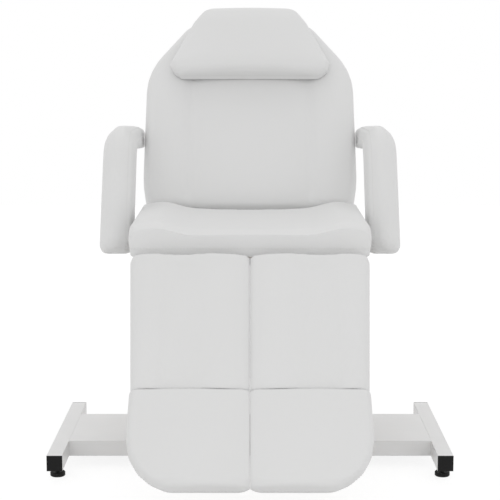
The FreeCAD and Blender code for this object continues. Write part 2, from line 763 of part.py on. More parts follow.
def head_pillow():
    """A pad on the front of the backrest that reaches just past its top end."""
    places = stations(
        PILLOW_START, PILLOW_END, PILLOW_END_ROUND,
        [PILLOW_WIDEST, (PILLOW_WIDEST + PILLOW_NECK) / 2, PILLOW_NECK],
    )
    sections = []
    for out, inward in sorted(places):
        half = pillow_half_width(out)
        at_brow = out > PILLOW_NECK
        low = pillow_low() + (PILLOW_END_LIFT if at_brow else PILLOW_LOW_LIFT) * inward
        high = pillow_low() + PILLOW_THICKNESS - PILLOW_END_ROUND * inward
        crown = (high - low) * PILLOW_CROWN_SHARE
        if at_brow:
            flattened = (crown - PILLOW_BROW_CROWN) * inward
            crown -= flattened
            high -= flattened
        tops = [(-half + PILLOW_SWELL, crown)]
        sections.append(
            section(BACK_AXIS_Y + out, -half, half, low, high, PILLOW_SWELL, crown, tops)
        )
    return loft(sections)


def pillow_strap():
    """A band under the pillow, over the top end of the backrest and down behind its board."""
    end = BACK_AXIS_Y + BACK_END + SOFT_GAP
    low = BACK_BASE - SOFT_GAP - STRAP_THICKNESS
    high = pillow_low() + PILLOW_END_LIFT
    half = STRAP_WIDTH / 2
    behind = box(-half, half, end - STRAP_DROP, end, low, low + STRAP_THICKNESS)
    over = box(-half, half, end, end + STRAP_THICKNESS, low, high)
    return fused([behind, over]).cut(head_pillow())


# Leg rests, drawn flat in front of the leg pivot, right side
def leg_outer(out):
    share = (out - LEG_START) / (LEG_END - LEG_START)
    return LEG_OUTER_START + (LEG_OUTER_END - LEG_OUTER_START) * share


def leg_cushion():
    """Two soft crowns with a shallow calf trough between them, both fading towards the ends."""
    sections = []
    for out, inward in stations(LEG_START, LEG_END, LEG_END_ROUND, (), LEG_TOP_ROUND):
        x0 = LEG_HALF_GAP + LEG_END_TUCK * inward
        x1 = leg_outer(out) - LEG_END_TUCK * inward
        at_top = out < (LEG_START + LEG_END) / 2
        drop = (LEG_TOP_ROUND if at_top else LEG_END_ROUND) * inward
        kept = 1 - (1 - LEG_END_CROWN_SHARE) * inward
        crown = LEG_CROWN * kept
        high = LEG_BASE + LEG_THICKNESS - drop
        tops = [
            (TROUGH_TO, crown),
            (TROUGH_FROM, -TROUGH_DEPTH * kept),
            (x0 + LEG_SIDE_SWELL, crown),
        ]
        sections.append(
            section(LEG_AXIS_Y - out, x0, x1, LEG_BASE, high, LEG_SIDE_SWELL, crown, tops)
        )
    return loft(sections).cut(leg_board())


def leg_board():
    x0 = LEG_HALF_GAP + BOARD_INSET
    near = LEG_START + BOARD_INSET / 2
    far = LEG_END - BOARD_INSET / 2
    corners = [
        Vector(x0, LEG_AXIS_Y - near, LEG_RAIL_TOP),
        Vector(leg_outer(near) - BOARD_INSET, LEG_AXIS_Y - near, LEG_RAIL_TOP),
        Vector(leg_outer(far) - BOARD_INSET, LEG_AXIS_Y - far, LEG_RAIL_TOP),
        Vector(x0, LEG_AXIS_Y - far, LEG_RAIL_TOP),
    ]
    face = Part.Face(Part.makePolygon(corners + corners[:1]))
    return face.extrude(Vector(0, 0, BOARD_THICKNESS))


def leg_rail(x):
    half = LEG_RAIL_SIZE / 2
    return tube(
        x - half, x + half, LEG_AXIS_Y - LEG_RAIL_END, LEG_AXIS_Y - LEG_RAIL_START,
        LEG_RAIL_LOW, LEG_RAIL_TOP, RAIL_WALL, "y",
    )


def leg_lug(x0, x1):
    """A lug from a leg rail up to the pivot rod."""
    y, z = LEG_AXIS_Y, AXIS_HEIGHT
    corners = [
        Vector(x0, y + LUG_RADIUS, z), Vector(x0, y - LEG_START, LEG_RAIL_TOP),
        Vector(x0, y - LUG_LENGTH, LEG_RAIL_TOP), Vector(x0, y - LUG_LENGTH, LEG_RAIL_LOW),
        Vector(x0, y, LEG_RAIL_LOW), Vector(x0, y + LUG_RADIUS, z),
    ]
    side = Part.Face(Part.makePolygon(corners)).extrude(Vector(x1 - x0, 0, 0))
    return fused([side, rod_x(LUG_RADIUS, x0, x1, y, z)])


def leg_frame():
    """Two rails, two cross tubes and the inner lug, welded into one ladder."""
    inner_face = LEG_RAIL_INNER + LEG_RAIL_SIZE / 2
    outer_face = LEG_RAIL_OUTER - LEG_RAIL_SIZE / 2
    pieces = [leg_rail(LEG_RAIL_INNER), leg_rail(LEG_RAIL_OUTER)]
    for out in LEG_CROSS_PLACES:
        pieces.append(box(
            inner_face, outer_face, LEG_AXIS_Y - out - LEG_RAIL_SIZE, LEG_AXIS_Y - out,
            LEG_RAIL_LOW, LEG_RAIL_TOP,
        ))
    pieces.append(leg_lug(inner_face, inner_face + LUG_THICKNESS))
    body = fused(pieces)
    hole = rod_x(
        PIVOT_RADIUS + RUNNING_FIT, inner_face - 1, inner_face + LUG_THICKNESS + 1,
        LEG_AXIS_Y, AXIS_HEIGHT,
    )
    return body.cut(hole).cut(slide_screw_hole(LEG_RAIL_OUTER))


def leg_quadrant():
    """The outer lug of a leg rest, grown into a slotted plate behind the pivot."""
    low = LEG_BOLT_POLAR - LEG_ANGLE
    high = LEG_BOLT_POLAR
    edge = degrees_of(CLAMP_RADIUS + QUADRANT_MARGIN, LEG_SLOT_RADIUS) + SLOT_SPARE
    x0, x1 = LEG_QUADRANT_X0, LEG_QUADRANT_X1
    y, z = LEG_AXIS_Y, AXIS_HEIGHT
    plate = fused([
        leg_lug(x0, x1),
        sector(x0, x1, LUG_RADIUS / 2, LEG_SLOT_RADIUS + QUADRANT_RIM, low - edge, high + edge, y, z),
    ])
    hole = rod_x(PIVOT_RADIUS + RUNNING_FIT, x0 - 1, x1 + 1, y, z)
    way = slot(x0 - 1, x1 + 1, LEG_SLOT_RADIUS, low - SLOT_SPARE, high + SLOT_SPARE, y, z)
    return plate.cut(hole).cut(way)


# Foot rests, right side
def slide_screw_hole(x):
    y = SLIDE_SCREW_Y
    return rod_z(CLAMP_RADIUS + RUNNING_FIT, x, y, LEG_RAIL_LOW - 1, LEG_RAIL_LOW + RAIL_WALL + SOFT_GAP)


def foot_slide_frame():
    """Two tubes that telescope in the leg rails, joined by a bar, with eyes for the hinge pin."""
    half = SLIDE_SIZE / 2
    inner_end = LEG_AXIS_Y - LEG_RAIL_END + SLIDE_INSERTED
    tip = FOOT_AXIS_Y - SLIDE_EYE
    pieces = [
        tube(x - half, x + half, tip, inner_end, FOOT_AXIS_Z - half, FOOT_AXIS_Z + half, SLIDE_WALL, "y")
        for x in (LEG_RAIL_INNER, LEG_RAIL_OUTER)
    ]
    near = LEG_AXIS_Y - LEG_RAIL_END - SIDE_GAP
    pieces.append(box(
        LEG_RAIL_INNER + half, LEG_RAIL_OUTER - half, near - SLIDE_BAR, near,
        FOOT_AXIS_Z - half, FOOT_AXIS_Z,
    ))
    body = fused(pieces)
    return body.cut(rod_x(FOOT_PIN_RADIUS, 0, FOOT_OUTER, FOOT_AXIS_Y, FOOT_AXIS_Z))


def foot_pin():
    reach = SLIDE_SIZE / 2 + STRINGER_THICKNESS
    return rod_x(
        FOOT_PIN_RADIUS, LEG_RAIL_INNER - reach, LEG_RAIL_OUTER + reach, FOOT_AXIS_Y, FOOT_AXIS_Z
    )


def foot_outline_outer(out):
    """The outer edge: a short swell, a straight, and a large corner."""
    if out < FOOT_SWELL_LENGTH:
        share = out / FOOT_SWELL_LENGTH
        return FOOT_OUTER_START + (FOOT_OUTER - FOOT_OUTER_START) * math.sin(share * math.pi / 2)
    past = out - (FOOT_LENGTH - FOOT_OUTER_CORNER)
    return FOOT_OUTER - corner_inset(past, FOOT_OUTER_CORNER)


def foot_outline_inner(out):
    past = out - (FOOT_LENGTH - FOOT_INNER_CORNER)
    return LEG_HALF_GAP + corner_inset(past, FOOT_INNER_CORNER)


def corner_inset(past, radius):
    if past <= 0:
        return 0.0
    return radius - math.sqrt(max(0.0, radius**2 - past**2))


def foot_crown(out):
    """The crown's height: low where the cushion meets the leg's, and full further out."""
    share = min(1.0, max(0.0, (out - FOOT_START) / FOOT_CROWN_LENGTH))
    return FOOT_START_CROWN + (FOOT_CROWN - FOOT_START_CROWN) * math.sin(share * math.pi / 2)


def foot_cushion():
    """Crowned, with a large outer corner, and thinner towards the toes."""
    base = FOOT_AXIS_Z + LEG_RAIL_SIZE / 2
    sections = []
    for out, inward in foot_stations():
        past = max(0.0, 1 - (FOOT_LENGTH - out) / FOOT_TOE_LENGTH)
        drawn = max(inward, 1 - math.sqrt(max(0.0, 1 - past**2)))
        x0 = foot_outline_inner(max(out, 0.0))
        x1 = foot_outline_outer(max(out, 0.0))
        crown = foot_crown(out)
        low = base + FOOT_UNDER_LIFT * drawn
        high = base + FOOT_THICKNESS - FOOT_TOE_DROP * drawn - (FOOT_CROWN - crown)
        lean = -FOOT_START_LEAN if out < FOOT_SWELL_LENGTH / 2 else 0.0
        tops = [(x0 + FOOT_SIDE_SWELL, crown)]
        place = FOOT_AXIS_Y - out
        sections.append(section(place, x0, x1, low, high, FOOT_SIDE_SWELL, crown, tops, lean))
    return loft(sections).cut(foot_board())


def foot_stations():
    """Places along the foot cushion, each with the share that it is drawn in at its start."""
    first = [(FOOT_START + FOOT_END_ROUND * along, inward) for along, inward in quarter_steps()]
    corner = FOOT_LENGTH - FOOT_OUTER_CORNER
    round_places = [
        corner + FOOT_OUTER_CORNER * math.sin(math.radians(turn)) for turn in FOOT_CORNER_TURNS
    ]
    between = [FOOT_SWELL_LENGTH / 2, FOOT_SWELL_LENGTH] + round_places + [FOOT_LENGTH - FOOT_TIP]
    return first + [(out, 0.0) for out in between]


def foot_board():
    z = FOOT_AXIS_Z + LEG_RAIL_SIZE / 2
    x0 = LEG_HALF_GAP + FOOT_BOARD_INSET
    x1 = FOOT_OUTER_START - FOOT_BOARD_INSET
    far = FOOT_LENGTH - FOOT_BOARD_INSET
    corner = FOOT_OUTER_CORNER - FOOT_BOARD_INSET
    slant = corner * (1 - math.sqrt(0.5))
    outline = wire(
        Vector(x0, FOOT_AXIS_Y, z),
        [
            (Vector(x1, FOOT_AXIS_Y, z),),
            (Vector(x1, FOOT_AXIS_Y - far + corner, z),),
            (
                Vector(x1 - slant, FOOT_AXIS_Y - far + slant, z),
                Vector(x1 - corner, FOOT_AXIS_Y - far, z),
            ),
            (Vector(x0, FOOT_AXIS_Y - far, z),),
            (Vector(x0, FOOT_AXIS_Y, z),),
        ],
    )
    return Part.Face(outline).extrude(Vector(0, 0, BOARD_THICKNESS))


def foot_bracket():
    """Two stringers with eyes on the hinge pin and a cross bar, under the foot board."""
    half = LEG_RAIL_SIZE / 2
    eye = LEG_RAIL_SIZE / 2
    top = FOOT_AXIS_Z + half
    inner0 = LEG_RAIL_INNER + SLIDE_SIZE / 2 + SIDE_GAP
    outer1 = LEG_RAIL_OUTER - SLIDE_SIZE / 2 - SIDE_GAP
    inner1 = inner0 + STRINGER_THICKNESS
    outer0 = outer1 - STRINGER_THICKNESS
    far = FOOT_AXIS_Y - STRINGER_LENGTH
    pieces = []
    for x0, x1 in ((inner0, inner1), (outer0, outer1)):
        pieces.append(box(x0, x1, far, FOOT_AXIS_Y, FOOT_AXIS_Z - half, top))
        pieces.append(rod_x(eye, x0, x1, FOOT_AXIS_Y, FOOT_AXIS_Z))
    pieces.append(box(inner1, outer0, far, far + LEG_RAIL_SIZE, top - STRINGER_THICKNESS, top))
    body = fused(pieces)
    hole = rod_x(FOOT_PIN_RADIUS + RUNNING_FIT, inner0 - 1, outer1 + 1, FOOT_AXIS_Y, FOOT_AXIS_Z)
    return body.cut(hole)


# Armrests, right side
def arm_bend():
    """Where the bend of the arm's middle line starts and ends, and its centre."""
    turn = ARM_UP.getAngle(ARM_BACK)
    reach = ARM_BEND_RADIUS * math.tan(turn / 2)
    start = ARM_CORNER - ARM_UP * reach
    end = ARM_CORNER + ARM_BACK * reach
    centre = start + across(ARM_UP) * -ARM_BEND_RADIUS
    return start, end, centre, turn


def across(direction):
    """The way from the arm's underside to its crest, square to a direction along it."""
    return Vector(0, -direction.z, direction.y)


def arm_section(place, direction, inward, fullness=0.0):
    """A slice of the armrest: flat on the seat side of the bend, with a full round crest.

    fullness, from 0 to 1, moves the crest's corners out towards a square section.
    """
    out = across(direction)
    side = Vector(1, 0, 0)
    half = ARM_WIDTH / 2 - ARM_END_ROUND * inward * ARM_END_SIDE_SHARE
    under = ARM_UNDER - ARM_END_ROUND * inward * ARM_END_UNDER_SHARE
    crest = ARM_CREST - ARM_END_ROUND * inward * ARM_END_CREST_SHARE
    middle = place + side * ARM_MIDDLE

    def at(x, w):
        return middle + side * x + out * w

    def full(share):
        return share + (1 - share) * fullness

    foot = half * ARM_UNDER_SHARE
    shoulder = half * full(ARM_SHOULDER_SHARE)
    side_low = -under * ARM_WAIST_SHARE
    brow = half * full(ARM_BROW_WIDTH_SHARE)
    brow_up = crest * full(ARM_BROW_LOW_SHARE)
    ridge = half * full(ARM_RIDGE_SHARE)
    ridge_up = crest * full(ARM_BROW_SHARE)
    return wire(
        at(-foot, -under),
        [
            (at(foot, -under),),
            (at(half, side_low), at(shoulder, 0.0)),
            (at(brow, brow_up), at(ridge, ridge_up)),
            (at(0, crest), at(-ridge, ridge_up)),
            (at(-brow, brow_up), at(-shoulder, 0.0)),
            (at(-half, side_low), at(-foot, -under)),
        ],
    )


def arm_pad_blank():
    start, end, centre, turn = arm_bend()
    sections = []
    for along, inward in quarter_steps():
        sections.append(arm_section(ARM_LOW + ARM_UP * ARM_END_ROUND * along, ARM_UP, inward))
    for k in range(ARM_BEND_STEPS + 1):
        swung = -turn * k / ARM_BEND_STEPS
        rotation = FreeCAD.Rotation(Vector(1, 0, 0), math.degrees(swung))
        place = centre + rotation.multVec(start - centre)
        sections.append(arm_section(place, rotation.multVec(ARM_UP), 0.0))
    for along, inward in reversed(quarter_steps()):
        place = ARM_REAR - ARM_BACK * ARM_END_ROUND * along
        sections.append(arm_section(place, ARM_BACK, inward, ARM_REAR_FULLNESS))
    return loft(sections)


def arm_core():
    """A flat bar bent like the arm, with an eye at its lower end."""
    start, end, centre, turn = arm_bend()
    half = CORE_WIDTH / 2
    tail = ARM_REAR - ARM_BACK * CORE_TAIL_INSET
    out_up = across(ARM_UP)
    out_back = across(ARM_BACK)
    halfway = FreeCAD.Rotation(Vector(1, 0, 0), -math.degrees(turn) / 2).multVec(out_up)
    foot = ARM_AXIS
    outline = wire(
        foot - out_up * half,
        [
            (foot - ARM_UP * half, foot + out_up * half),
            (start + out_up * half,),
            (centre + halfway * (ARM_BEND_RADIUS + half), end + out_back * half),
            (tail + out_back * half,),
            (tail - out_back * half,),
            (end - out_back * half,),
            (centre + halfway * (ARM_BEND_RADIUS - half), start - out_up * half),
            (foot - out_up * half,),
        ],
    )
    outline.translate(Vector(CORE_X0, 0, 0))
    return Part.Face(outline).extrude(Vector(CORE_THICKNESS, 0, 0))


def arm_pad():
    """The padded arm, hollow where the core and the pivot bolt go."""
    bolt_end = CORE_X1 + ARM_BOLT_HEAD + 2 * SIDE_GAP
    bore = rod_x(ARM_BORE_RADIUS, ARM_INNER - 1, bolt_end, ARM_AXIS.y, ARM_AXIS.z)
    return arm_pad_blank().cut(arm_core().fuse(bore))


def arm_core_drilled():
    hole = rod_x(ARM_BOLT_RADIUS + RUNNING_FIT, CORE_X0 - 1, CORE_X1 + 1, ARM_AXIS.y, ARM_AXIS.z)
    return arm_core().cut(hole)


def arm_bracket():
    """A plate on the end of the longest cross tube, up beside the seat cushion."""
    y, z = ARM_AXIS.y, ARM_AXIS.z
    body = fused([
        box(ARM_PLATE_X0, ARM_PLATE_X1, y - ARM_PLATE_RADIUS, y + ARM_PLATE_RADIUS, CROSS_LOW, z),
        rod_x(ARM_PLATE_RADIUS, ARM_PLATE_X0, ARM_PLATE_X1, y, z),
    ])
    return body.cut(rod_x(ARM_BOLT_RADIUS, ARM_PLATE_X0 - 1, ARM_PLATE_X1 + 1, y, z))


def arm_bolt():
    y, z = ARM_AXIS.y, ARM_AXIS.z
    head = CORE_X1 + SOFT_GAP
    return fused([
        rod_x(ARM_BOLT_RADIUS, ARM_PLATE_X0, head, y, z),
        rod_x(ARM_BOLT_HEAD_RADIUS, head, head + ARM_BOLT_HEAD, y, z),
    ])


# Clamp bolts, which stay in their plates, and what turns on their ends
def clamp_bolt(x_head, x_seat, bolt):
    """A headed bolt through a plate and a slot, with its end in the knob or lever."""
    x0 = x_head - CLAMP_HEAD
    return fused([
        rod_x(CLAMP_HEAD_RADIUS, x0, x_head, bolt.y, bolt.z),
        rod_x(CLAMP_RADIUS, x0, x_seat + CLAMP_GRIP, bolt.y, bolt.z),
    ])


def clamp_bolts():
    leg = clamp_bolt(SEAT_RAIL_OUTER - CLAMP_PLATE, LEG_KNOB_SEAT, LEG_BOLT)
    back = clamp_bolt(BACK_QUADRANT_X0 - SOFT_GAP, LEVER_SEAT, BACK_BOLT)
    return Part.makeCompound([leg, mirrored(leg), back])


def clamp_bore(seat, bolt):
    """The blind hole in a knob or lever for the end of its bolt."""
    end = seat + CLAMP_GRIP + SIDE_GAP
    return rod_x(CLAMP_RADIUS + RUNNING_FIT, seat - 1, end, bolt.y, bolt.z)


def leg_clamp_knob():
    seat = LEG_KNOB_SEAT
    knob = rod_x(KNOB_RADIUS, seat, seat + KNOB_LENGTH, LEG_BOLT.y, LEG_BOLT.z)
    for k in range(KNOB_LOBES):
        scoop = polar(KNOB_RADIUS + KNOB_SCOOP_OUT, 360 * k / KNOB_LOBES, LEG_BOLT.y, LEG_BOLT.z)
        cutter = rod_x(
            KNOB_SCOOP_RADIUS, seat + KNOB_COLLAR, seat + KNOB_LENGTH + 1, scoop.y, scoop.z
        )
        knob = knob.cut(cutter)
    return knob.cut(clamp_bore(seat, LEG_BOLT))


def back_clamp_lever():
    """Hub outside the clamp plate, with a round grip that points back and down."""
    seat = LEVER_SEAT
    hub_length = SEAT_RAIL_OUTER - seat + KNOB_LENGTH
    hub = rod_x(LEVER_HUB_RADIUS, seat, seat + hub_length, BACK_BOLT.y, BACK_BOLT.z)
    x = seat + hub_length - LEVER_GRIP_RADIUS
    near = Vector(x, BACK_BOLT.y, BACK_BOLT.z)
    way = polar(1.0, LEVER_POLAR, 0.0, 0.0)
    grip = Part.makeCylinder(LEVER_GRIP_RADIUS, LEVER_LENGTH, near, way)
    ball = Part.makeSphere(LEVER_BALL_RADIUS, near + way * LEVER_LENGTH)
    return fused([hub, grip, ball]).cut(clamp_bore(seat, BACK_BOLT))


def foot_slide_knob():
    """A thumb screw under the outer leg rail, short of the slide tube."""
    x = LEG_RAIL_OUTER
    y = SLIDE_SCREW_Y
    top = FOOT_AXIS_Z - SLIDE_SIZE / 2 - SOFT_GAP
    head_top = LEG_RAIL_LOW - SOFT_GAP
    knob = rod_z(SLIDE_KNOB_RADIUS, x, y, head_top - SLIDE_KNOB_LENGTH, head_top)
    return fused([knob, rod_z(CLAMP_RADIUS, x, y, head_top, top)])


# Pose
def backrest_pose(shape):
    return about_x(shape, BACK_ANGLE, BACK_AXIS_Y, AXIS_HEIGHT)


def leg_pose(shape):
    return about_x(shape, LEG_ANGLE, LEG_AXIS_Y, AXIS_HEIGHT)


def foot_pose(shape):
    return leg_pose(about_x(shape, FOOT_TILT, FOOT_AXIS_Y, FOOT_AXIS_Z))


def build():
    """Every node in the photographed pose, with Y still measured from the middle of the base."""
    nodes = {
        "runner_left": runner(),
        "runner_right": mirrored(runner()),
        "base_beam": beam(),
        "runner_end_plugs": end_plugs(),
        "glide_inserts": glide_inserts(),
        "post_left": post(),
        "post_right": mirrored(post()),
        "post_plates": post_plates(),
        "post_bolts": post_bolts(),
        "seat_rail_left": seat_rail(),
        "seat_rail_right": mirrored(seat_rail()),
        "seat_cross_tubes": seat_cross_tubes(),
        "seat_board": seat_board(),
        "seat_cushion": seat_cushion(),
        "back_pivot_rod": pivot_rod(BACK_AXIS_Y, SEAT_RAIL_OUTER + RAIL_WALL),
        "leg_pivot_rod": pivot_rod(LEG_AXIS_Y, LEG_QUADRANT_X1 + LEG_RAIL_SIZE),
        "clamp_plates": clamp_plates(),
        "clamp_bolts": clamp_bolts(),
        "arm_brackets": both_sides(arm_bracket()),
        "arm_pivot_bolts": both_sides(arm_bolt()),
    }
    for side, x in (("left", -RUNNER_SPREAD / 2), ("right", RUNNER_SPREAD / 2)):
        for end, y in zip(("front", "rear"), glide_places()):
            nodes[f"glide_{end}_{side}"] = glide(x, y)
    backrest = {
        "back_rail_left": back_rail(),
        "back_rail_right": mirrored(back_rail()),
        "back_cross_tubes": back_cross_tubes(),
        "back_bushes": back_bushes(),
        "back_quadrant": back_quadrant(),
        "back_board": back_board(),
        "back_cushion": back_cushion(),
        "head_pillow": head_pillow(),
        "pillow_strap": pillow_strap(),
    }
    nodes.update({name: backrest_pose(shape) for name, shape in backrest.items()})
    right = {
        "leg_frame": leg_pose(leg_frame()),
        "leg_board": leg_pose(leg_board()),
        "leg_cushion": leg_pose(leg_cushion()),
        "leg_quadrant": leg_pose(leg_quadrant()),
        "foot_slide_frame": leg_pose(foot_slide_frame()),
        "foot_hinge_pin": leg_pose(foot_pin()),
        "foot_slide_knob": leg_pose(foot_slide_knob()),
        "foot_bracket": foot_pose(foot_bracket()),
        "foot_board": foot_pose(foot_board()),
        "foot_cushion": foot_pose(foot_cushion()),
        "leg_clamp_knob": leg_clamp_knob(),
        "arm_core": arm_core_drilled(),
        "arm_pad": arm_pad(),
    }
    for name, shape in right.items():
        nodes[f"{name}_right"] = shape
        nodes[f"{name}_left"] = mirrored(shape)
    nodes["back_clamp_lever"] = back_clamp_lever()
    return nodes


def middle_of(nodes):
    """Half way along Y between the foremost and the rearmost point of the whole chair."""
    bounds = [shape.optimalBoundingBox() for shape in nodes.values()]
    return (min(b.YMin for b in bounds) + max(b.YMax for b in bounds)) / 2


NODES = build()
MIDDLE = middle_of(NODES)
os.makedirs("parts", exist_ok=True)
for name, shape in NODES.items():
    shape.translate(Vector(0, -MIDDLE, 0))
    shape.exportStep("parts/" + name + ".step")
print("nodes", len(NODES), "middle over the base", round(MIDDLE, 3))
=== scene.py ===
import json
import math

import bmesh
import bpy
import numpy as np
from mathutils import Matrix, Vector
from mathutils.bvhtree import BVHTree


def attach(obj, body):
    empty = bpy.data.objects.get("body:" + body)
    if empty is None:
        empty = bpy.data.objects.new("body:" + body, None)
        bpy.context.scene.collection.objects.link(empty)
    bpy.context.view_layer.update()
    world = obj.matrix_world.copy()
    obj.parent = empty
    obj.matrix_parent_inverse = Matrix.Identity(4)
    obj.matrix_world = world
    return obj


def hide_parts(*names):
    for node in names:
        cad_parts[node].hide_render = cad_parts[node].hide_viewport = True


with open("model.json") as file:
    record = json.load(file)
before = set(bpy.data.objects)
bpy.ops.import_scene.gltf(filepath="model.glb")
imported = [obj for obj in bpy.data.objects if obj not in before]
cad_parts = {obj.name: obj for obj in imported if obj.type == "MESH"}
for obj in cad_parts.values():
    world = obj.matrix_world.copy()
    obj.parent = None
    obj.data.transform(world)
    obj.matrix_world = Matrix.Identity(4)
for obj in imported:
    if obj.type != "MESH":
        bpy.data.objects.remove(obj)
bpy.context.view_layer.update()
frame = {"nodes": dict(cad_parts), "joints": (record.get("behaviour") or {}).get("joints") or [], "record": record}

JOINTS = {joint["name"]: joint for joint in frame["joints"]}
NODES = frame["nodes"]

# Lengths are metres. The backrest, its pillow, the legs and the feet are made lying flat, with
# their panel's pivot at the origin, and then put into their poses. The arms are made lying on
# their seat side, and the seat is made in place. Slopes are degrees from level, and FAR is past
# any cushion's edge.
BACK_SLOPE = 54.0
LEG_SLOPE = 45.0
FOOT_SLOPE = 52.0
FAR = 1.0


def joint_place(name):
    return Vector(JOINTS[name]["pos_m"])


def panel(origin, turn):
    """From a panel lying flat, its pivot at the origin, to its pose."""
    return Matrix.Translation(origin) @ Matrix.Rotation(math.radians(turn), 4, "X")


BACK = panel(joint_place("back_recline"), BACK_SLOPE)
LEG = panel(joint_place("leg_swing_right"), LEG_SLOPE)
FOOT = panel(joint_place("foot_tilt_right"), FOOT_SLOPE)
FLAT = Matrix.Identity(4)
ARM = Matrix.Rotation(math.radians(90.0), 4, "Y")


# Small tools for meshes
def smooth(low, high, values):
    """0 below low, 1 above high, and an even rise between."""
    share = np.clip((values - low) / (high - low), 0.0, 1.0)
    return share * share * (3.0 - 2.0 * share)


def bell(values, centre, width):
    """1 at the centre, falling off on both sides."""
    return np.exp(-(((values - centre) / width) ** 2))


def facing_up(normals, low=0.2, high=0.8):
    """1 where the surface faces up, falling to 0 as it turns away."""
    return smooth(low, high, normals[:, 2])


def upward(lift):
    """Moves along Z, one for each point."""
    return np.stack([np.zeros(len(lift)), np.zeros(len(lift)), lift], axis=1)


def link_object(name, data):
    obj = bpy.data.objects.new(name, data)
    bpy.context.scene.collection.objects.link(obj)
    return obj


def new_object(name, points, faces):
    mesh = bpy.data.meshes.new(name)
    mesh.from_pydata([tuple(p) for p in points], [], [tuple(f) for f in faces])
    mesh.update()
    return link_object(name, mesh)


def get_points(obj):
    flat = np.empty(len(obj.data.vertices) * 3)
    obj.data.vertices.foreach_get("co", flat)
    return flat.reshape(-1, 3)


def set_points(obj, points):
    obj.data.vertices.foreach_set("co", np.ascontiguousarray(points).ravel())
    obj.data.update()


def get_normals(obj):
    flat = np.empty(len(obj.data.vertices) * 3)
    obj.data.vertices.foreach_get("normal", flat)
    return flat.reshape(-1, 3)


def settle(obj):
    """Applies the object's modifiers to its mesh."""
    graph = bpy.context.evaluated_depsgraph_get()
    mesh = bpy.data.meshes.new_from_object(obj.evaluated_get(graph))
    old = obj.data
    obj.modifiers.clear()
    obj.data = mesh
    bpy.data.meshes.remove(old)
    mesh.name = obj.name


def neighbours(obj):
    """Pairs of points that share an edge."""
    edges = np.empty(len(obj.data.edges) * 2, dtype=np.int32)
    obj.data.edges.foreach_get("vertices", edges)
    return edges.reshape(-1, 2)


def spread_means(values, edges, count):
    """Each point's mean over its neighbours, count being how many it has."""
    total = np.zeros_like(values)
    for axis in range(values.shape[1]):
        total[:, axis] += np.bincount(edges[:, 0], values[edges[:, 1], axis], len(values))
        total[:, axis] += np.bincount(edges[:, 1], values[edges[:, 0], axis], len(values))
    return total / count


SHRINK = 0.55
SWELL = -0.57


def even_out(obj, rounds, where=None):
    """Smooths facets away and keeps the volume: each round shrinks a little and swells back."""
    points = get_points(obj)
    edges = neighbours(obj)
    count = np.bincount(edges.ravel(), minlength=len(points))[:, None]
    share = 1.0 if where is None else where(points)[:, None]
    for _ in range(rounds):
        for strength in (SHRINK, SWELL):
            points = points + (spread_means(points, edges, count) - points) * strength * share
    set_points(obj, points)


STEP_ROUNDS = 3
SAME_PLACE = 1e-5


def soft_copy(node, name, pose, voxel, rounds):
    """The CAD cushion's form, laid flat, as an even mesh without its facets."""
    mesh = NODES[node].data.copy()
    mesh.name = name
    obj = link_object(name, mesh)
    work = bmesh.new()
    work.from_mesh(mesh)
    work.transform(pose.inverted())
    bmesh.ops.remove_doubles(work, verts=work.verts, dist=SAME_PLACE)
    solid = BVHTree.FromBMesh(work)
    work.to_mesh(mesh)
    work.free()
    modifier = obj.modifiers.new("even", "REMESH")
    modifier.mode = "VOXEL"
    modifier.voxel_size = voxel
    settle(obj)
    even_out(obj, STEP_ROUNDS)
    set_points(obj, np.array([tuple(solid.find_nearest(p)[0]) for p in get_points(obj)]))
    even_out(obj, rounds)
    return obj


def flat_box(node, pose):
    """The corners of a node's box when its panel is laid flat."""
    flat = pose.inverted()
    points = np.array([tuple(flat @ vertex.co) for vertex in NODES[node].data.vertices])
    return points.min(axis=0), points.max(axis=0)


CALMING_ROUNDS = 3
CLOTH_STEPS = 20
CLOTH_SETTINGS = {
    "quality": 4,
    "mass": 0.3,
    "tension_stiffness": 15,
    "compression_stiffness": 15,
    "shear_stiffness": 5,
    "bending_stiffness": 0.6,
    "use_pressure": True,
    "uniform_pressure_force": 4.0,
}


def inflate(obj, pins, cap):
    """Cloth with air pressure in it. pins says how firmly each point is held, cap how far one may go."""
    start = get_points(obj)
    group = obj.vertex_groups.new(name="held")
    levels = np.round(pins, 1)
    for level in np.unique(levels):
        if level > 0:
            group.add([int(v) for v in np.flatnonzero(levels == level)], float(level), "REPLACE")
    cloth = obj.modifiers.new("air", "CLOTH")
    for setting, value in CLOTH_SETTINGS.items():
        setattr(cloth.settings, setting, value)
    cloth.settings.effector_weights.gravity = 0.0
    cloth.settings.vertex_group_mass = group.name
    cloth.collision_settings.use_collision = False
    cloth.point_cache.frame_start = 1
    cloth.point_cache.frame_end = CLOTH_STEPS
    for step in range(CLOTH_STEPS):
        bpy.context.scene.frame_set(step + 1)
    graph = bpy.context.evaluated_depsgraph_get()
    shaped = obj.evaluated_get(graph).data
    flat = np.empty(len(shaped.vertices) * 3)
    shaped.vertices.foreach_get("co", flat)
    moved = flat.reshape(-1, 3) - start
    length = np.linalg.norm(moved, axis=1, keepdims=True)
    moved *= cap * np.tanh(length / cap) / np.maximum(length, 1e-9)
    obj.modifiers.clear()
    obj.vertex_groups.clear()
    edges = neighbours(obj)
    count = np.bincount(edges.ravel(), minlength=len(moved))[:, None]
    for _ in range(CALMING_ROUNDS):
        moved = 0.5 * moved + 0.5 * spread_means(moved, edges, count)
    set_points(obj, start + moved)
    bpy.context.scene.frame_set(1)


def fit_box(obj, low, high):
    """Scales the mesh so that its box runs from low to high."""
    points = get_points(obj)
    a, b = points.min(axis=0), points.max(axis=0)
    set_points(obj, (points - a) / (b - a) * (high - low) + low)


def finer(obj):
    modifier = obj.modifiers.new("finer", "SUBSURF")
    modifier.levels = 1
    modifier.render_levels = 1
    settle(obj)


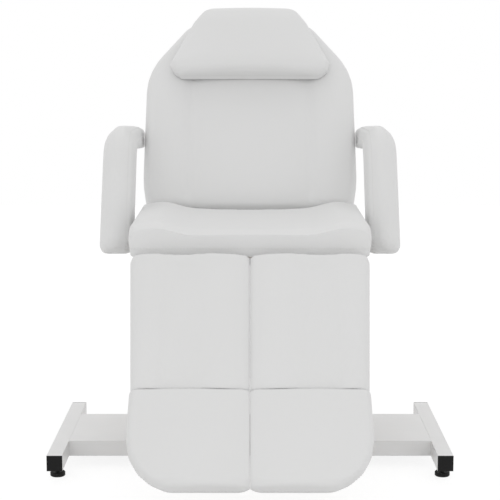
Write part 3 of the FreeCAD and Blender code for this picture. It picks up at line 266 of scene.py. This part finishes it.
def outline(obj, height):
    """The cushion's outline at a height over its flat bed, as evenly spaced points."""
    work = bmesh.new()
    work.from_mesh(obj.data)
    cut = bmesh.ops.bisect_plane(
        work, geom=work.verts[:] + work.edges[:] + work.faces[:],
        plane_co=(0, 0, height), plane_no=(0, 0, 1), clear_inner=True, clear_outer=True,
    )
    edges = [e for e in cut["geom_cut"] if isinstance(e, bmesh.types.BMEdge)]
    beside = {}
    for edge in edges:
        a, b = edge.verts
        beside.setdefault(a, []).append(b)
        beside.setdefault(b, []).append(a)
    best, seen = [], set()
    for first in beside:
        if first in seen:
            continue
        loop, here = [], first
        while here is not None:
            loop.append(here.co.copy())
            seen.add(here)
            here = next((v for v in beside[here] if v not in seen), None)
        if len(loop) > len(best):
            best = loop
    work.free()
    return even_loop(best)


LOOP_PITCH = 0.004
LOOP_ROUNDS = 6
FEWEST_PLACES = 12


def even_loop(loop):
    """The closed loop calmed, turned counterclockwise and divided evenly."""
    points = np.array([tuple(p) for p in loop])
    for _ in range(LOOP_ROUNDS):
        points = 0.5 * points + 0.25 * (np.roll(points, 1, axis=0) + np.roll(points, -1, axis=0))
    closed = np.vstack([points, points[:1]])
    run = np.concatenate([[0.0], np.cumsum(np.linalg.norm(np.diff(closed, axis=0), axis=1))])
    count = max(int(run[-1] / LOOP_PITCH), FEWEST_PLACES)
    at = np.linspace(0.0, run[-1], count, endpoint=False)
    even = np.stack([np.interp(at, run, closed[:, axis]) for axis in range(3)], axis=1)
    area = np.sum(even[:, 0] * np.roll(even[:, 1], -1) - np.roll(even[:, 0], -1) * even[:, 1])
    return even if area > 0 else even[::-1]


def ways_along(points):
    """The way along a closed loop at each of its points."""
    ways = np.roll(points, -1, axis=0) - np.roll(points, 1, axis=0)
    return ways / np.linalg.norm(ways, axis=1, keepdims=True)


def ways_out(ways):
    """To the right of each way, which is out of a counterclockwise loop."""
    return np.stack([ways[:, 1], -ways[:, 0], np.zeros(len(ways))], axis=1)


def tube_mesh(points, radius, sides=8):
    """Points and faces of a closed round bead along a loop that lies nearly flat."""
    ways = ways_along(points)
    out = ways_out(ways)
    out /= np.linalg.norm(out, axis=1, keepdims=True)
    up = np.cross(ways, out)
    verts, faces = [], []
    for k in range(sides):
        a = 2 * math.pi * k / sides
        verts.append(points + radius * (math.cos(a) * out + math.sin(a) * up))
    verts = np.stack(verts, axis=1).reshape(-1, 3)
    count = len(points)
    for i in range(count):
        for k in range(sides):
            a, b = i * sides + k, i * sides + (k + 1) % sides
            c, d = ((i + 1) % count) * sides + (k + 1) % sides, ((i + 1) % count) * sides + k
            faces.append((a, d, c, b))
    return verts, faces


# Along a stitch, from end to end: the place and the share of its radius there
STITCH_RINGS = ((-1.0, 0.15), (-0.7, 0.85), (0.0, 1.0), (0.7, 0.85), (1.0, 0.15))
STITCH_BOW = 0.6


def stitch_mesh(places, ways, ups, length, radius, sides=6):
    """Points and faces of short rounded stitches, one at each place."""
    verts, faces = [], []
    sideways = np.cross(ways, ups)
    for place, way, up, side in zip(places, ways, ups, sideways):
        first = len(verts)
        for at, share in STITCH_RINGS:
            for k in range(sides):
                a = 2 * math.pi * k / sides
                bow = radius * STITCH_BOW * (1 - at * at)
                verts.append(
                    place + way * (at * length / 2) + up * (bow + radius * share * math.sin(a))
                    + side * (radius * share * math.cos(a))
                )
        for r in range(len(STITCH_RINGS) - 1):
            for k in range(sides):
                a, b = first + r * sides + k, first + r * sides + (k + 1) % sides
                faces.append((a, b, b + sides, a + sides))
        faces.append(tuple(first + k for k in reversed(range(sides))))
        last = first + (len(STITCH_RINGS) - 1) * sides
        faces.append(tuple(last + k for k in range(sides)))
    return verts, faces


# Materials
def link(tree, a, out, b, into):
    tree.links.new(a.outputs[out], b.inputs[into])


def new_material(name, colour, roughness):
    """A material, its node tree, its shader and its texture coordinates."""
    material = bpy.data.materials.new(name)
    material.use_nodes = True
    tree = material.node_tree
    shader = tree.nodes["Principled BSDF"]
    shader.inputs["Base Color"].default_value = tuple(colour) + (1.0,)
    shader.inputs["Roughness"].default_value = roughness
    coords = tree.nodes.new("ShaderNodeTexCoord")
    return material, tree, shader, coords


def noise(tree, coords, scale, detail=3.0, rough=0.5):
    node = tree.nodes.new("ShaderNodeTexNoise")
    node.inputs["Scale"].default_value = scale
    node.inputs["Detail"].default_value = detail
    node.inputs["Roughness"].default_value = rough
    link(tree, coords, "Object", node, "Vector")
    return node


def ramp(tree, source, out, low, high, first=0.0, last=1.0):
    node = tree.nodes.new("ShaderNodeMapRange")
    node.inputs["From Min"].default_value = first
    node.inputs["From Max"].default_value = last
    node.inputs["To Min"].default_value = low
    node.inputs["To Max"].default_value = high
    link(tree, source, out, node, "Value")
    return node


def bump_node(tree, source, out, strength, distance, under=None):
    node = tree.nodes.new("ShaderNodeBump")
    node.inputs["Strength"].default_value = strength
    node.inputs["Distance"].default_value = distance
    link(tree, source, out, node, "Height")
    if under is not None:
        link(tree, under, "Normal", node, "Normal")
    return node


def blend_colours(tree, factor, out, a, b):
    node = tree.nodes.new("ShaderNodeMix")
    node.data_type = "RGBA"
    node.inputs["A"].default_value = tuple(a) + (1.0,)
    node.inputs["B"].default_value = tuple(b) + (1.0,)
    link(tree, factor, out, node, "Factor")
    return node


def leather(name, tone):
    """White coated upholstery cloth with a fine pebbled grain."""
    material, tree, shader, coords = new_material(name, (tone, tone, tone), 0.5)
    cells = tree.nodes.new("ShaderNodeTexVoronoi")
    cells.feature = "DISTANCE_TO_EDGE"
    cells.inputs["Scale"].default_value = 560.0
    link(tree, coords, "Object", cells, "Vector")
    grain = ramp(tree, cells, "Distance", low=0.0, high=1.0, first=0.0, last=0.22)
    waves = noise(tree, coords, scale=30.0, detail=4.0, rough=0.55)
    broad = bump_node(tree, waves, "Fac", strength=0.10, distance=0.004)
    fine = bump_node(tree, grain, "Result", strength=0.16, distance=0.0003, under=broad)
    link(tree, fine, "Normal", shader, "Normal")
    tint = noise(tree, coords, scale=5.0)
    yellowed = (tone * 0.975, tone * 0.975, tone * 0.968)
    mix = blend_colours(tree, tint, "Fac", yellowed, (tone, tone, tone))
    link(tree, mix, "Result", shader, "Base Color")
    gloss = noise(tree, coords, scale=20.0)
    rough = ramp(tree, gloss, "Fac", low=0.46, high=0.60)
    link(tree, rough, "Result", shader, "Roughness")
    shader.inputs["Specular IOR Level"].default_value = 0.35
    return material


def coated(name, colour, roughness, metallic=0.0, scale=220.0, depth=0.0002, edge=0.002, worn=1.0,
           specular=0.5):
    """Paint, moulded plastic or plated steel: fine unevenness, and rounded, slightly rubbed edges."""
    material, tree, shader, coords = new_material(name, colour, roughness)
    shader.inputs["Metallic"].default_value = metallic
    shader.inputs["Specular IOR Level"].default_value = specular
    peel = noise(tree, coords, scale, detail=2.0)
    bumps = bump_node(tree, peel, "Fac", strength=0.22, distance=depth)
    tint = noise(tree, coords, scale=9.0)
    mix = blend_colours(tree, tint, "Fac", [c * 0.95 for c in colour], colour)
    result = mix
    if edge:
        bevel = tree.nodes.new("ShaderNodeBevel")
        bevel.samples = 6
        bevel.inputs["Radius"].default_value = edge
        link(tree, bevel, "Normal", bumps, "Normal")
        plain = tree.nodes.new("ShaderNodeNewGeometry")
        turn = tree.nodes.new("ShaderNodeVectorMath")
        turn.operation = "DOT_PRODUCT"
        link(tree, bevel, "Normal", turn, 0)
        link(tree, plain, "True Normal", turn, 1)
        rub = ramp(tree, turn, "Value", low=1.0, high=0.0, first=0.70, last=0.98)
        result = blend_colours(tree, rub, "Result", colour, [min(c * worn, 1.0) for c in colour])
        link(tree, mix, "Result", result, "A")
    link(tree, result, "Result", shader, "Base Color")
    link(tree, bumps, "Normal", shader, "Normal")
    gloss = noise(tree, coords, scale=40.0)
    rough = ramp(tree, gloss, "Fac", low=roughness - 0.05, high=roughness + 0.06)
    link(tree, rough, "Result", shader, "Roughness")
    return material


def plywood(name):
    """A board of birch plywood, its grain drawn out along X."""
    material, tree, shader, coords = new_material(name, (0.58, 0.43, 0.27), 0.7)
    stretch = tree.nodes.new("ShaderNodeMapping")
    stretch.inputs["Scale"].default_value = (5.0, 70.0, 70.0)
    link(tree, coords, "Object", stretch, "Vector")
    grain = tree.nodes.new("ShaderNodeTexNoise")
    grain.inputs["Scale"].default_value = 1.5
    grain.inputs["Detail"].default_value = 6.0
    link(tree, stretch, "Vector", grain, "Vector")
    mix = blend_colours(tree, grain, "Fac", (0.42, 0.29, 0.17), (0.68, 0.54, 0.36))
    link(tree, mix, "Result", shader, "Base Color")
    bumps = bump_node(tree, grain, "Fac", strength=0.3, distance=0.0004)
    link(tree, bumps, "Normal", shader, "Normal")
    return material


def webbing(name):
    """A woven polyester strap."""
    material, tree, shader, coords = new_material(name, (0.72, 0.72, 0.71), 0.85)
    weave = tree.nodes.new("ShaderNodeTexWave")
    weave.wave_type = "BANDS"
    weave.bands_direction = "X"
    weave.inputs["Scale"].default_value = 160.0
    weave.inputs["Distortion"].default_value = 1.2
    link(tree, coords, "Object", weave, "Vector")
    fuzz = noise(tree, coords, scale=900.0, detail=2.0)
    rows = bump_node(tree, weave, "Fac", strength=0.5, distance=0.0006)
    fine = bump_node(tree, fuzz, "Fac", strength=0.4, distance=0.0004, under=rows)
    link(tree, fine, "Normal", shader, "Normal")
    mix = blend_colours(tree, weave, "Fac", (0.62, 0.62, 0.61), (0.76, 0.76, 0.75))
    link(tree, mix, "Result", shader, "Base Color")
    return material


LEATHER = leather("faux_leather", tone=0.755)
THREAD = coated("thread", (0.69, 0.69, 0.68), 0.7, scale=1200.0, depth=0.0003, edge=0.0)
ZINC = coated("zinc_plate", (0.60, 0.61, 0.63), 0.34, metallic=1.0, scale=140.0, edge=0.001)
SLOT_MATERIALS = {
    "white_painted_steel": coated("white_paint", (0.82, 0.82, 0.82), 0.38, worn=0.94, edge=0.0025),
    "black_plastic": coated(
        "black_moulded", (0.010, 0.010, 0.010), 0.5, scale=500.0, worn=2.2, specular=0.15
    ),
    "zinc_steel": ZINC,
    "white_nylon": coated("nylon_bush", (0.75, 0.75, 0.72), 0.5, edge=0.001),
    "webbing": webbing("strap_webbing"),
    "plywood": plywood("birch_board"),
}
for entry in frame["record"]["subparts"]:
    if entry["material_slot"] in SLOT_MATERIALS:
        node = NODES[entry["node"]]
        node.data.materials.clear()
        node.data.materials.append(SLOT_MATERIALS[entry["material_slot"]])


# Finishing a cushion
def shade(obj, material):
    obj.data.polygons.foreach_set("use_smooth", [True] * len(obj.data.polygons))
    obj.data.materials.clear()
    obj.data.materials.append(material)


CREASE_DEPTH = 0.0009
CREASE_WIDTH = 0.0030
CREASE_STEEPNESS = (0.2, 0.7)


def crease(obj, height):
    """Draws the cover in along a level seam on the cushion's sides."""
    points, normals = get_points(obj), get_normals(obj)
    upright = 1.0 - np.abs(normals[:, 2:3])
    pull = CREASE_DEPTH * bell(points[:, 2:3], height, CREASE_WIDTH) * smooth(*CREASE_STEEPNESS, upright)
    set_points(obj, points - normals * pull)


def mirror_mesh(mesh, name):
    twin = mesh.copy()
    twin.name = name
    flat = np.empty(len(twin.vertices) * 3)
    twin.vertices.foreach_get("co", flat)
    points = flat.reshape(-1, 3)
    points[:, 0] *= -1.0
    twin.vertices.foreach_set("co", points.ravel())
    twin.flip_normals()
    return twin


def mount_piece(obj, pose, body, material):
    """Puts a piece into its pose, on its body, in its slot."""
    shade(obj, material)
    obj.matrix_world = pose
    bpy.context.view_layer.update()
    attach(obj, body)


def place_pad(obj, trims, pose, body, node):
    """Puts a cushion and what is sewn on it into its pose, in place of its CAD node."""
    mount_piece(obj, pose, body, LEATHER)
    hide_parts(node)
    for trim, material in trims:
        mount_piece(trim, pose, body, material)


def both_hands(obj, trims, pose, body, node):
    """Places the right-hand cushion and a mirrored copy of it."""
    twins = []
    for piece in [obj] + [trim for trim, _ in trims]:
        name = piece.name.replace("_right", "_left")
        twins.append(link_object(name, mirror_mesh(piece.data, name)))
    left = list(zip(twins[1:], [material for _, material in trims]))
    place_pad(obj, trims, pose, body + "_right", node + "_right")
    place_pad(twins[0], left, pose, body + "_left", node + "_left")


PIPING_RADIUS = 0.0014
PIPING_SUNK = 0.8
STITCH_PITCH = 0.008
STITCH_LENGTH = 0.0055
STITCH_RADIUS = 0.0005


def piping(obj, height):
    """A cord sewn into the seam round a cushion."""
    loop = outline(obj, height)
    inward = -ways_out(ways_along(loop))
    verts, faces = tube_mesh(loop + inward * PIPING_RADIUS * PIPING_SUNK, PIPING_RADIUS)
    return new_object(obj.name.replace("cover", "piping"), verts, faces)


def stitches(obj, height, from_x):
    """A row of stitches round a cushion, but none below from_x, where it lies against its twin."""
    loop = outline(obj, height)
    count = int(len(loop) * LOOP_PITCH / STITCH_PITCH)
    picks = np.linspace(0, len(loop), count, endpoint=False).astype(int)
    picks = picks[loop[picks, 0] > from_x]
    ways = ways_along(loop)
    out = ways_out(ways)
    verts, faces = stitch_mesh(loop[picks], ways[picks], out[picks], STITCH_LENGTH, STITCH_RADIUS)
    return new_object(obj.name.replace("cover", "stitches"), verts, faces)


# Under each board the cover is turned in and stapled. Its rings: how far in, and how far over the
# board's lower face.
HEM_RINGS = ((0.005, 0.0008), (0.009, -0.0007), (0.028, -0.0013), (0.046, -0.0012), (0.047, 0.0004))
HEM_CUT = 0.004
HEM_FOLD = 0.0005
# Each of the folds' waves: its pace, in radians a metre, and its start
FOLD_WAVES = ((210.0, 0.0), (37.0, 1.0), (95.0, 0.0))
FOLDED_BELOW = -0.001
HEM_SUNK = 0.0008
HEM_FADE = 0.012
STAPLE_INSET = 0.034
STAPLE_PITCH = 0.042
STAPLE_CLEAR = 0.02
STAPLE_LENGTH = 0.010
STAPLE_RADIUS = 0.0006


def drawn_in(loop, inset):
    """The loop with its sides moved in by the same amount all round, so that it never crosses itself."""
    low, high = loop.min(axis=0), loop.max(axis=0)
    centre, half = (low + high) / 2, (high - low) / 2
    factor = np.ones(3)
    factor[:2] = (half[:2] - inset) / half[:2]
    return centre + (loop - centre) * factor


def hem(obj, bottom, bare_from):
    """The cover's edge, turned in under the board in small folds, and its staples.

    Past bare_from along the panel it lies sunk in the board, clear of the frame that tilts there.
    """
    loop = outline(obj, bottom + HEM_CUT)
    count = len(loop)
    run = np.arange(count) * LOOP_PITCH
    small, large, between = (np.sin(run * pace + start) for pace, start in FOLD_WAVES)
    folds = HEM_FOLD * (small * large + 0.5 * between)
    verts = []
    for inset, over in HEM_RINGS:
        ring = drawn_in(loop, inset)
        free = 1.0 - smooth(bare_from - HEM_FADE, bare_from, ring[:, 1])
        folded = over + (folds if over < FOLDED_BELOW else 0.0)
        ring[:, 2] = bottom + HEM_SUNK + (folded - HEM_SUNK) * free
        verts.append(ring)
    faces = []
    for r in range(len(HEM_RINGS)):
        a, b = r * count, (r + 1) % len(HEM_RINGS) * count
        for i in range(count):
            j = (i + 1) % count
            faces.append((a + i, b + i, b + j, a + j))
    edge = new_object(obj.name.replace("cover", "hem"), np.vstack(verts), faces)
    ring = drawn_in(loop, STAPLE_INSET)
    ring[:, 2] = bottom + HEM_RINGS[2][1] - 2 * HEM_FOLD
    picks = np.arange(0, count, int(STAPLE_PITCH / LOOP_PITCH))
    picks = picks[ring[picks, 1] < bare_from - STAPLE_CLEAR]
    ups = np.tile([0.0, 0.0, -1.0], (len(picks), 1))
    verts, faces = stitch_mesh(ring[picks], ways_along(ring)[picks], ups, STAPLE_LENGTH, STAPLE_RADIUS)
    staples = new_object(obj.name.replace("cover", "staples"), verts, faces)
    return [(edge, LEATHER), (staples, ZINC)]


TWIN_GAP = 0.0003
TWIN_CLEAR = 0.020
HELD_BELOW = 0.020
SIDE_HOLD = 0.9
SIDE_STEEPNESS = (0.4, 0.75)
SWELL_CAP = 0.003
PRESS_REACH = 0.022
PRESS_PUSH = 0.008
SHAPED_ROUNDS = 2
ROUNDING_ROUNDS = 60
SEAM_HEIGHT = 0.016
STITCHES_OVER_SEAM = 0.0045
PIPING_HEIGHT = 0.0030


def press(obj, faces, low, high, push):
    """Flattens the faces that lie against a neighbour, which tightens the rounding of their rims."""
    points = get_points(obj)
    for axis, way in faces:
        limit = high[axis] if way > 0 else low[axis]
        depth = (limit - points[:, axis]) * way
        pushed = points[:, axis] * way + push * (1.0 - smooth(0.0, PRESS_REACH, depth))
        points[:, axis] = np.minimum(pushed, limit * way) * way
    set_points(obj, points)


def make_pad(name, node, pose, shape=None, held=None, pressed=(), push=PRESS_PUSH, rounded=None,
             twin=False, board=True, bare_end=-FAR, rounds=3, voxel=0.0065):
    """A cushion: even mesh, shaping, air pressure, finer mesh, then its seams.

    shape moves its points and rounded says where its edges are rounded more. held pins points
    against the air, pressed lists faces against a neighbour as an axis and a side, and twin says
    that its mirrored copy lies at x = 0. The hem stays off the last bare_end of the panel.
    """
    obj = soft_copy(node, name, pose, voxel, rounds)
    low, high = flat_box(node, pose)
    if shape is not None:
        points, normals = get_points(obj), get_normals(obj)
        set_points(obj, points + shape(points, normals))
        even_out(obj, SHAPED_ROUNDS)
    if rounded is not None:
        even_out(obj, ROUNDING_ROUNDS, rounded)
    points, normals = get_points(obj), get_normals(obj)
    upright = np.abs(normals[:, :2]).max(axis=1)
    sides = SIDE_HOLD * smooth(*SIDE_STEEPNESS, upright)
    pins = np.where(points[:, 2] < low[2] + HELD_BELOW, 1.0, sides)
    if held is not None:
        pins = np.maximum(pins, held(points))
    inflate(obj, pins, SWELL_CAP)
    even_out(obj, SHAPED_ROUNDS)
    fit_box(obj, low, high)
    finer(obj)
    press(obj, pressed, low, high, push)
    crease(obj, low[2] + SEAM_HEIGHT)
    trims = [
        (piping(obj, low[2] + PIPING_HEIGHT), LEATHER),
        (stitches(obj, low[2] + SEAM_HEIGHT + STITCHES_OVER_SEAM, TWIN_CLEAR if twin else -FAR), THREAD),
    ]
    if board:
        trims += hem(obj, low[2], high[1] - bare_end)
    if twin:
        for piece in (obj, trims[0][0]):
            points = get_points(piece)
            points[:, 0] = np.maximum(points[:, 0], TWIN_GAP)
            set_points(piece, points)
    return obj, trims


# Seat cushion: its dish has a nearly level middle and steeper sides, its front a full round nose
WIDE_VOXEL = 0.0075
DISH_PLACES = (0.0, 0.06, 0.12, 0.164, 0.194, 0.238, 0.30)
DISH_DROPS = (0.002, 0.003, 0.007, 0.011, 0.010, 0.001, 0.0)
NOSE_Y = (-0.235, -0.185)
NOSE_Z = (0.600, 0.625)


def seat_dish(points, normals):
    """Lowers the dish at places from its middle line outwards, so that its floor is nearly level."""
    drop = np.interp(np.abs(points[:, 0]), DISH_PLACES, DISH_DROPS) * facing_up(normals, low=0.3)
    return upward(-drop)


def seat_nose(points):
    """1 where the top meets the front, 0 elsewhere."""
    return (1.0 - smooth(*NOSE_Y, points[:, 1])) * smooth(*NOSE_Z, points[:, 2])


obj, trims = make_pad(
    "seat_cover", "seat_cushion", FLAT, shape=seat_dish, pressed=[(2, -1), (1, -1)], rounded=seat_nose,
    voxel=WIDE_VOXEL,
)
place_pad(obj, trims, FLAT, "base", "seat_cushion")


# Backrest cushion, with a soft channel on each side of its middle panel
CHANNEL_X = 0.181
CHANNEL_DEPTH = 0.0030
CHANNEL_WIDTH = 0.014
CHANNEL_START = (0.048, 0.10)
CHANNEL_END = (0.58, 0.66)
CHANNEL_OVER = 0.06


def back_channels(points, normals):
    """Draws the cover in along both channels, fading out at their ends."""
    line = bell(np.abs(points[:, 0]), CHANNEL_X, CHANNEL_WIDTH)
    run = smooth(*CHANNEL_START, points[:, 1]) * (1.0 - smooth(*CHANNEL_END, points[:, 1]))
    return normals * (-CHANNEL_DEPTH * line * run * facing_up(normals, low=0.3, high=0.7))[:, None]


def back_held(points):
    """Holds the channels' floors down."""
    line = bell(np.abs(points[:, 0]), CHANNEL_X, CHANNEL_WIDTH)
    return np.where(points[:, 2] > CHANNEL_OVER, SIDE_HOLD * line, 0.0)


obj, trims = make_pad(
    "backrest_cover", "back_cushion", BACK, shape=back_channels, held=back_held, voxel=WIDE_VOXEL
)
place_pad(obj, trims, BACK, "backrest", "back_cushion")


# Head pillow
BROW_HALF_WIDTH = 0.145
BROW_DROP = 0.0065
BROW_Y = (0.655, 0.70)
BROW_WAY = (0.0, -0.6, -0.8)


def pillow_brow(points, normals):
    """Levels the pillow's upper edge, so that its crown ends below it."""
    middle = np.clip(1.0 - (points[:, 0] / BROW_HALF_WIDTH) ** 2, 0.0, 1.0)
    drop = BROW_DROP * middle * smooth(*BROW_Y, points[:, 1]) * facing_up(normals, low=-0.2, high=0.5)
    return drop[:, None] * np.array(BROW_WAY)


obj, trims = make_pad(
    "head_pillow_cover", "head_pillow", BACK, shape=pillow_brow, pressed=[(2, -1)], board=False
)
place_pad(obj, trims, BACK, "headrest", "head_pillow")


# Leg and foot rests
TROUGH_X = 0.157
TROUGH_HALF_WIDTH = 0.065
TROUGH_FILL = 0.0095
LEG_RIM_WIDTH = 0.022
LEG_RIM_LIFT = 0.0035
LEG_ROLL_WIDTH = 0.020
LEG_ROLL = 0.008
LEG_ROLL_SPARED = 0.8
FOOT_RIM_WIDTH = 0.018
FOOT_RIM_LIFT = 0.0030
FOOT_PUSH = 0.013
FOOT_BARE_END = 0.085


def leg_ends(points, normals):
    """Lifts the upper rim, close under the seat's front edge, and ends the calf trough there.

    The lower end rolls off behind the foot cushion's upper rim, but less so in the trough.
    """
    trough = bell(points[:, 0], TROUGH_X, TROUGH_HALF_WIDTH)
    above = facing_up(normals)
    rim = bell(points[:, 1], points[:, 1].max(), LEG_RIM_WIDTH) * above
    end = bell(points[:, 1], points[:, 1].min(), LEG_ROLL_WIDTH) * above
    rolled = 1.0 - LEG_ROLL_SPARED * trough
    return upward(rim * (LEG_RIM_LIFT + TROUGH_FILL * trough) - end * LEG_ROLL * rolled)


def foot_top(points, normals):
    """Lifts the upper rim towards the leg cushion's crown."""
    rim = bell(points[:, 1], points[:, 1].max(), FOOT_RIM_WIDTH) * facing_up(normals)
    return upward(FOOT_RIM_LIFT * rim)


obj, trims = make_pad(
    "leg_cover_right", "leg_cushion_right", LEG, shape=leg_ends, pressed=[(0, -1), (1, 1), (1, -1)],
    twin=True,
)
both_hands(obj, trims, LEG, "leg", "leg_cushion")

obj, trims = make_pad(
    "foot_cover_right", "foot_cushion_right", FOOT, shape=foot_top, pressed=[(0, -1), (1, 1)],
    push=FOOT_PUSH, twin=True, bare_end=FOOT_BARE_END,
)
both_hands(obj, trims, FOOT, "foot", "foot_cushion")


# Armrests, made lying on their seat side. Their middle line runs up from the pivot, then back.
ARM_RISE = math.radians(60.2)
ARM_REAR = math.radians(-3.4)
ARM_BEND = 0.084
ARM_PIVOT_UP = 0.042
ARM_UPRIGHT = 0.2915
ARM_TOP = 0.333
ARM_CREST = 0.043
ARM_HALF_WIDTH = 0.047
ARM_FULLNESS = 0.8
ARM_REAR_FULLNESS = 0.25
ARM_REAR_START = (0.6, 0.95)
ARM_FULL_FROM = 0.3
ARM_ROUNDS = 24


def along(angle):
    """A way in the arm's plane, as a y and a z."""
    return np.array([math.cos(angle), math.sin(angle)])


def outward(angle):
    """The way to the crest where the middle line runs along the angle."""
    return np.array([-math.sin(angle), math.cos(angle)])


def arm_line(count=40):
    """Places on the arm's middle line and the ways out to its crest, each as a y and a z."""
    low = np.array(joint_place("arm_fold_right")[1:]) - along(ARM_RISE) * ARM_PIVOT_UP
    start = low + along(ARM_RISE) * ARM_UPRIGHT
    centre = start - outward(ARM_RISE) * ARM_BEND
    end = centre + outward(ARM_REAR) * ARM_BEND
    places, ways = [], []
    for share in np.linspace(0.0, 1.0, count):
        angle = ARM_RISE + (ARM_REAR - ARM_RISE) * share
        places += [low + (start - low) * share, centre + outward(angle) * ARM_BEND]
        ways += [outward(ARM_RISE), outward(angle)]
        places.append(end + along(ARM_REAR) * ARM_TOP * share)
        ways.append(outward(ARM_REAR))
    return np.array(places), np.array(ways)


def arm_fullness(points, normals):
    """Fills the corners of the arm's crest, towards a square section with round corners."""
    places, ways = arm_line()
    here = np.stack([points[:, 1], -points[:, 0]], axis=1)
    apart = here[:, None, :] - places[None, :, :]
    nearest = np.argmin((apart ** 2).sum(axis=2), axis=1)
    way = ways[nearest]
    out = (apart[np.arange(len(here)), nearest] * way).sum(axis=1)
    across = points[:, 2] - (points[:, 2].min() + ARM_HALF_WIDTH)
    u, v = np.abs(across) / ARM_HALF_WIDTH, np.maximum(out, 0.0) / ARM_CREST
    round_size = np.sqrt(u ** 2 + v ** 2)
    square_size = (u ** 4 + v ** 4) ** 0.25
    full = ARM_FULLNESS + (ARM_REAR_FULLNESS - ARM_FULLNESS) * smooth(*ARM_REAR_START, way[:, 1])
    grow = full * (round_size / np.maximum(square_size, 1e-6) - 1.0) * smooth(0.0, ARM_FULL_FROM, v)
    return np.stack([-way[:, 1] * out * grow, way[:, 0] * out * grow, across * grow], axis=1)


obj, trims = make_pad(
    "arm_cover_right", "arm_pad_right", ARM, shape=arm_fullness, board=False, rounds=ARM_ROUNDS
)
for piece in [obj] + [trim for trim, _ in trims]:
    piece.data.transform(ARM)
both_hands(obj, trims, FLAT, "arm", "arm_pad")


# Floor, light and camera
def seen_white(tree, lit, white):
    """Shows white to the camera and in reflections, and lit to every other ray."""
    path = tree.nodes.new("ShaderNodeLightPath")
    both = tree.nodes.new("ShaderNodeMath")
    both.operation = "MAXIMUM"
    tree.links.new(path.outputs["Is Camera Ray"], both.inputs[0])
    tree.links.new(path.outputs["Is Glossy Ray"], both.inputs[1])
    every = tree.nodes.new("ShaderNodeMath")
    every.operation = "MAXIMUM"
    tree.links.new(both.outputs[0], every.inputs[0])
    tree.links.new(path.outputs["Is Transmission Ray"], every.inputs[1])
    mix = tree.nodes.new("ShaderNodeMixShader")
    tree.links.new(every.outputs[0], mix.inputs[0])
    tree.links.new(lit.outputs[0], mix.inputs[1])
    tree.links.new(white.outputs[0], mix.inputs[2])
    return mix


FLOOR_HALF = 6.0
FLOOR_GLOW = 0.86
FLOOR_SHADOW = 0.20


def stage():
    """A pale floor that the camera sees as white, with the object's soft shadow on it."""
    corners = [(x * FLOOR_HALF, y * FLOOR_HALF, 0) for x, y in ((-1, -1), (1, -1), (1, 1), (-1, 1))]
    floor = new_object("floor", corners, [(0, 1, 2, 3)])
    material, tree, shader, _ = new_material("pale_floor", (0.92, 0.92, 0.92), 0.9)
    glow = tree.nodes.new("ShaderNodeEmission")
    glow.inputs["Color"].default_value = (1, 1, 1, 1)
    glow.inputs["Strength"].default_value = FLOOR_GLOW
    shadow = tree.nodes.new("ShaderNodeBsdfDiffuse")
    shadow.inputs["Color"].default_value = (FLOOR_SHADOW, FLOOR_SHADOW, FLOOR_SHADOW, 1)
    white = tree.nodes.new("ShaderNodeAddShader")
    tree.links.new(glow.outputs[0], white.inputs[0])
    tree.links.new(shadow.outputs[0], white.inputs[1])
    mix = seen_white(tree, shader, white)
    tree.links.new(mix.outputs[0], tree.nodes["Material Output"].inputs["Surface"])
    floor.data.materials.append(material)


def world_light(strength):
    world = bpy.data.worlds.new("studio")
    bpy.context.scene.world = world
    world.use_nodes = True
    tree = world.node_tree
    lit = tree.nodes["Background"]
    lit.inputs["Color"].default_value = (1, 1, 1, 1)
    lit.inputs["Strength"].default_value = strength
    backdrop = tree.nodes.new("ShaderNodeBackground")
    backdrop.inputs["Color"].default_value = (1, 1, 1, 1)
    backdrop.inputs["Strength"].default_value = 1.0
    mix = seen_white(tree, lit, backdrop)
    tree.links.new(mix.outputs[0], tree.nodes["World Output"].inputs["Surface"])


def area_light(name, place, aim, size, power):
    data = bpy.data.lights.new(name, "AREA")
    data.shape = "RECTANGLE"
    data.size, data.size_y = size
    data.energy = power
    lamp = link_object(name, data)
    lamp.location = place
    lamp.rotation_euler = (Vector(aim) - Vector(place)).to_track_quat("-Z", "Y").to_euler()
    lamp.visible_camera = False


SENSOR_MM = 36.0
FOCAL_PIXELS = 1476.0
PHOTO_PIXELS = 500.0
CAMERA_PLACE = (0, -4.021888, 1.122)
CAMERA_TURN = math.radians(81.9)


def camera():
    """The photograph's view, from its distance, height and tilt."""
    data = bpy.data.cameras.new("camera")
    data.sensor_width = SENSOR_MM
    data.lens = SENSOR_MM * FOCAL_PIXELS / PHOTO_PIXELS
    view = link_object("camera", data)
    view.location = CAMERA_PLACE
    view.rotation_euler = (CAMERA_TURN, 0, 0)
    bpy.context.scene.camera = view


stage()
world_light(strength=0.85)
area_light("key", place=(-1.4, -4.6, 2.2), aim=(0, 0, 0.6), size=(3.0, 3.0), power=6.0)
area_light("fill", place=(0.4, -3.8, 0.34), aim=(0, 0, 0.9), size=(3.4, 0.55), power=8.0)
area_light("top", place=(0.0, 2.2, 4.2), aim=(0, 0.2, 0.5), size=(6.0, 4.0), power=24.0)
camera()
bpy.context.scene.view_settings.view_transform = "Standard"
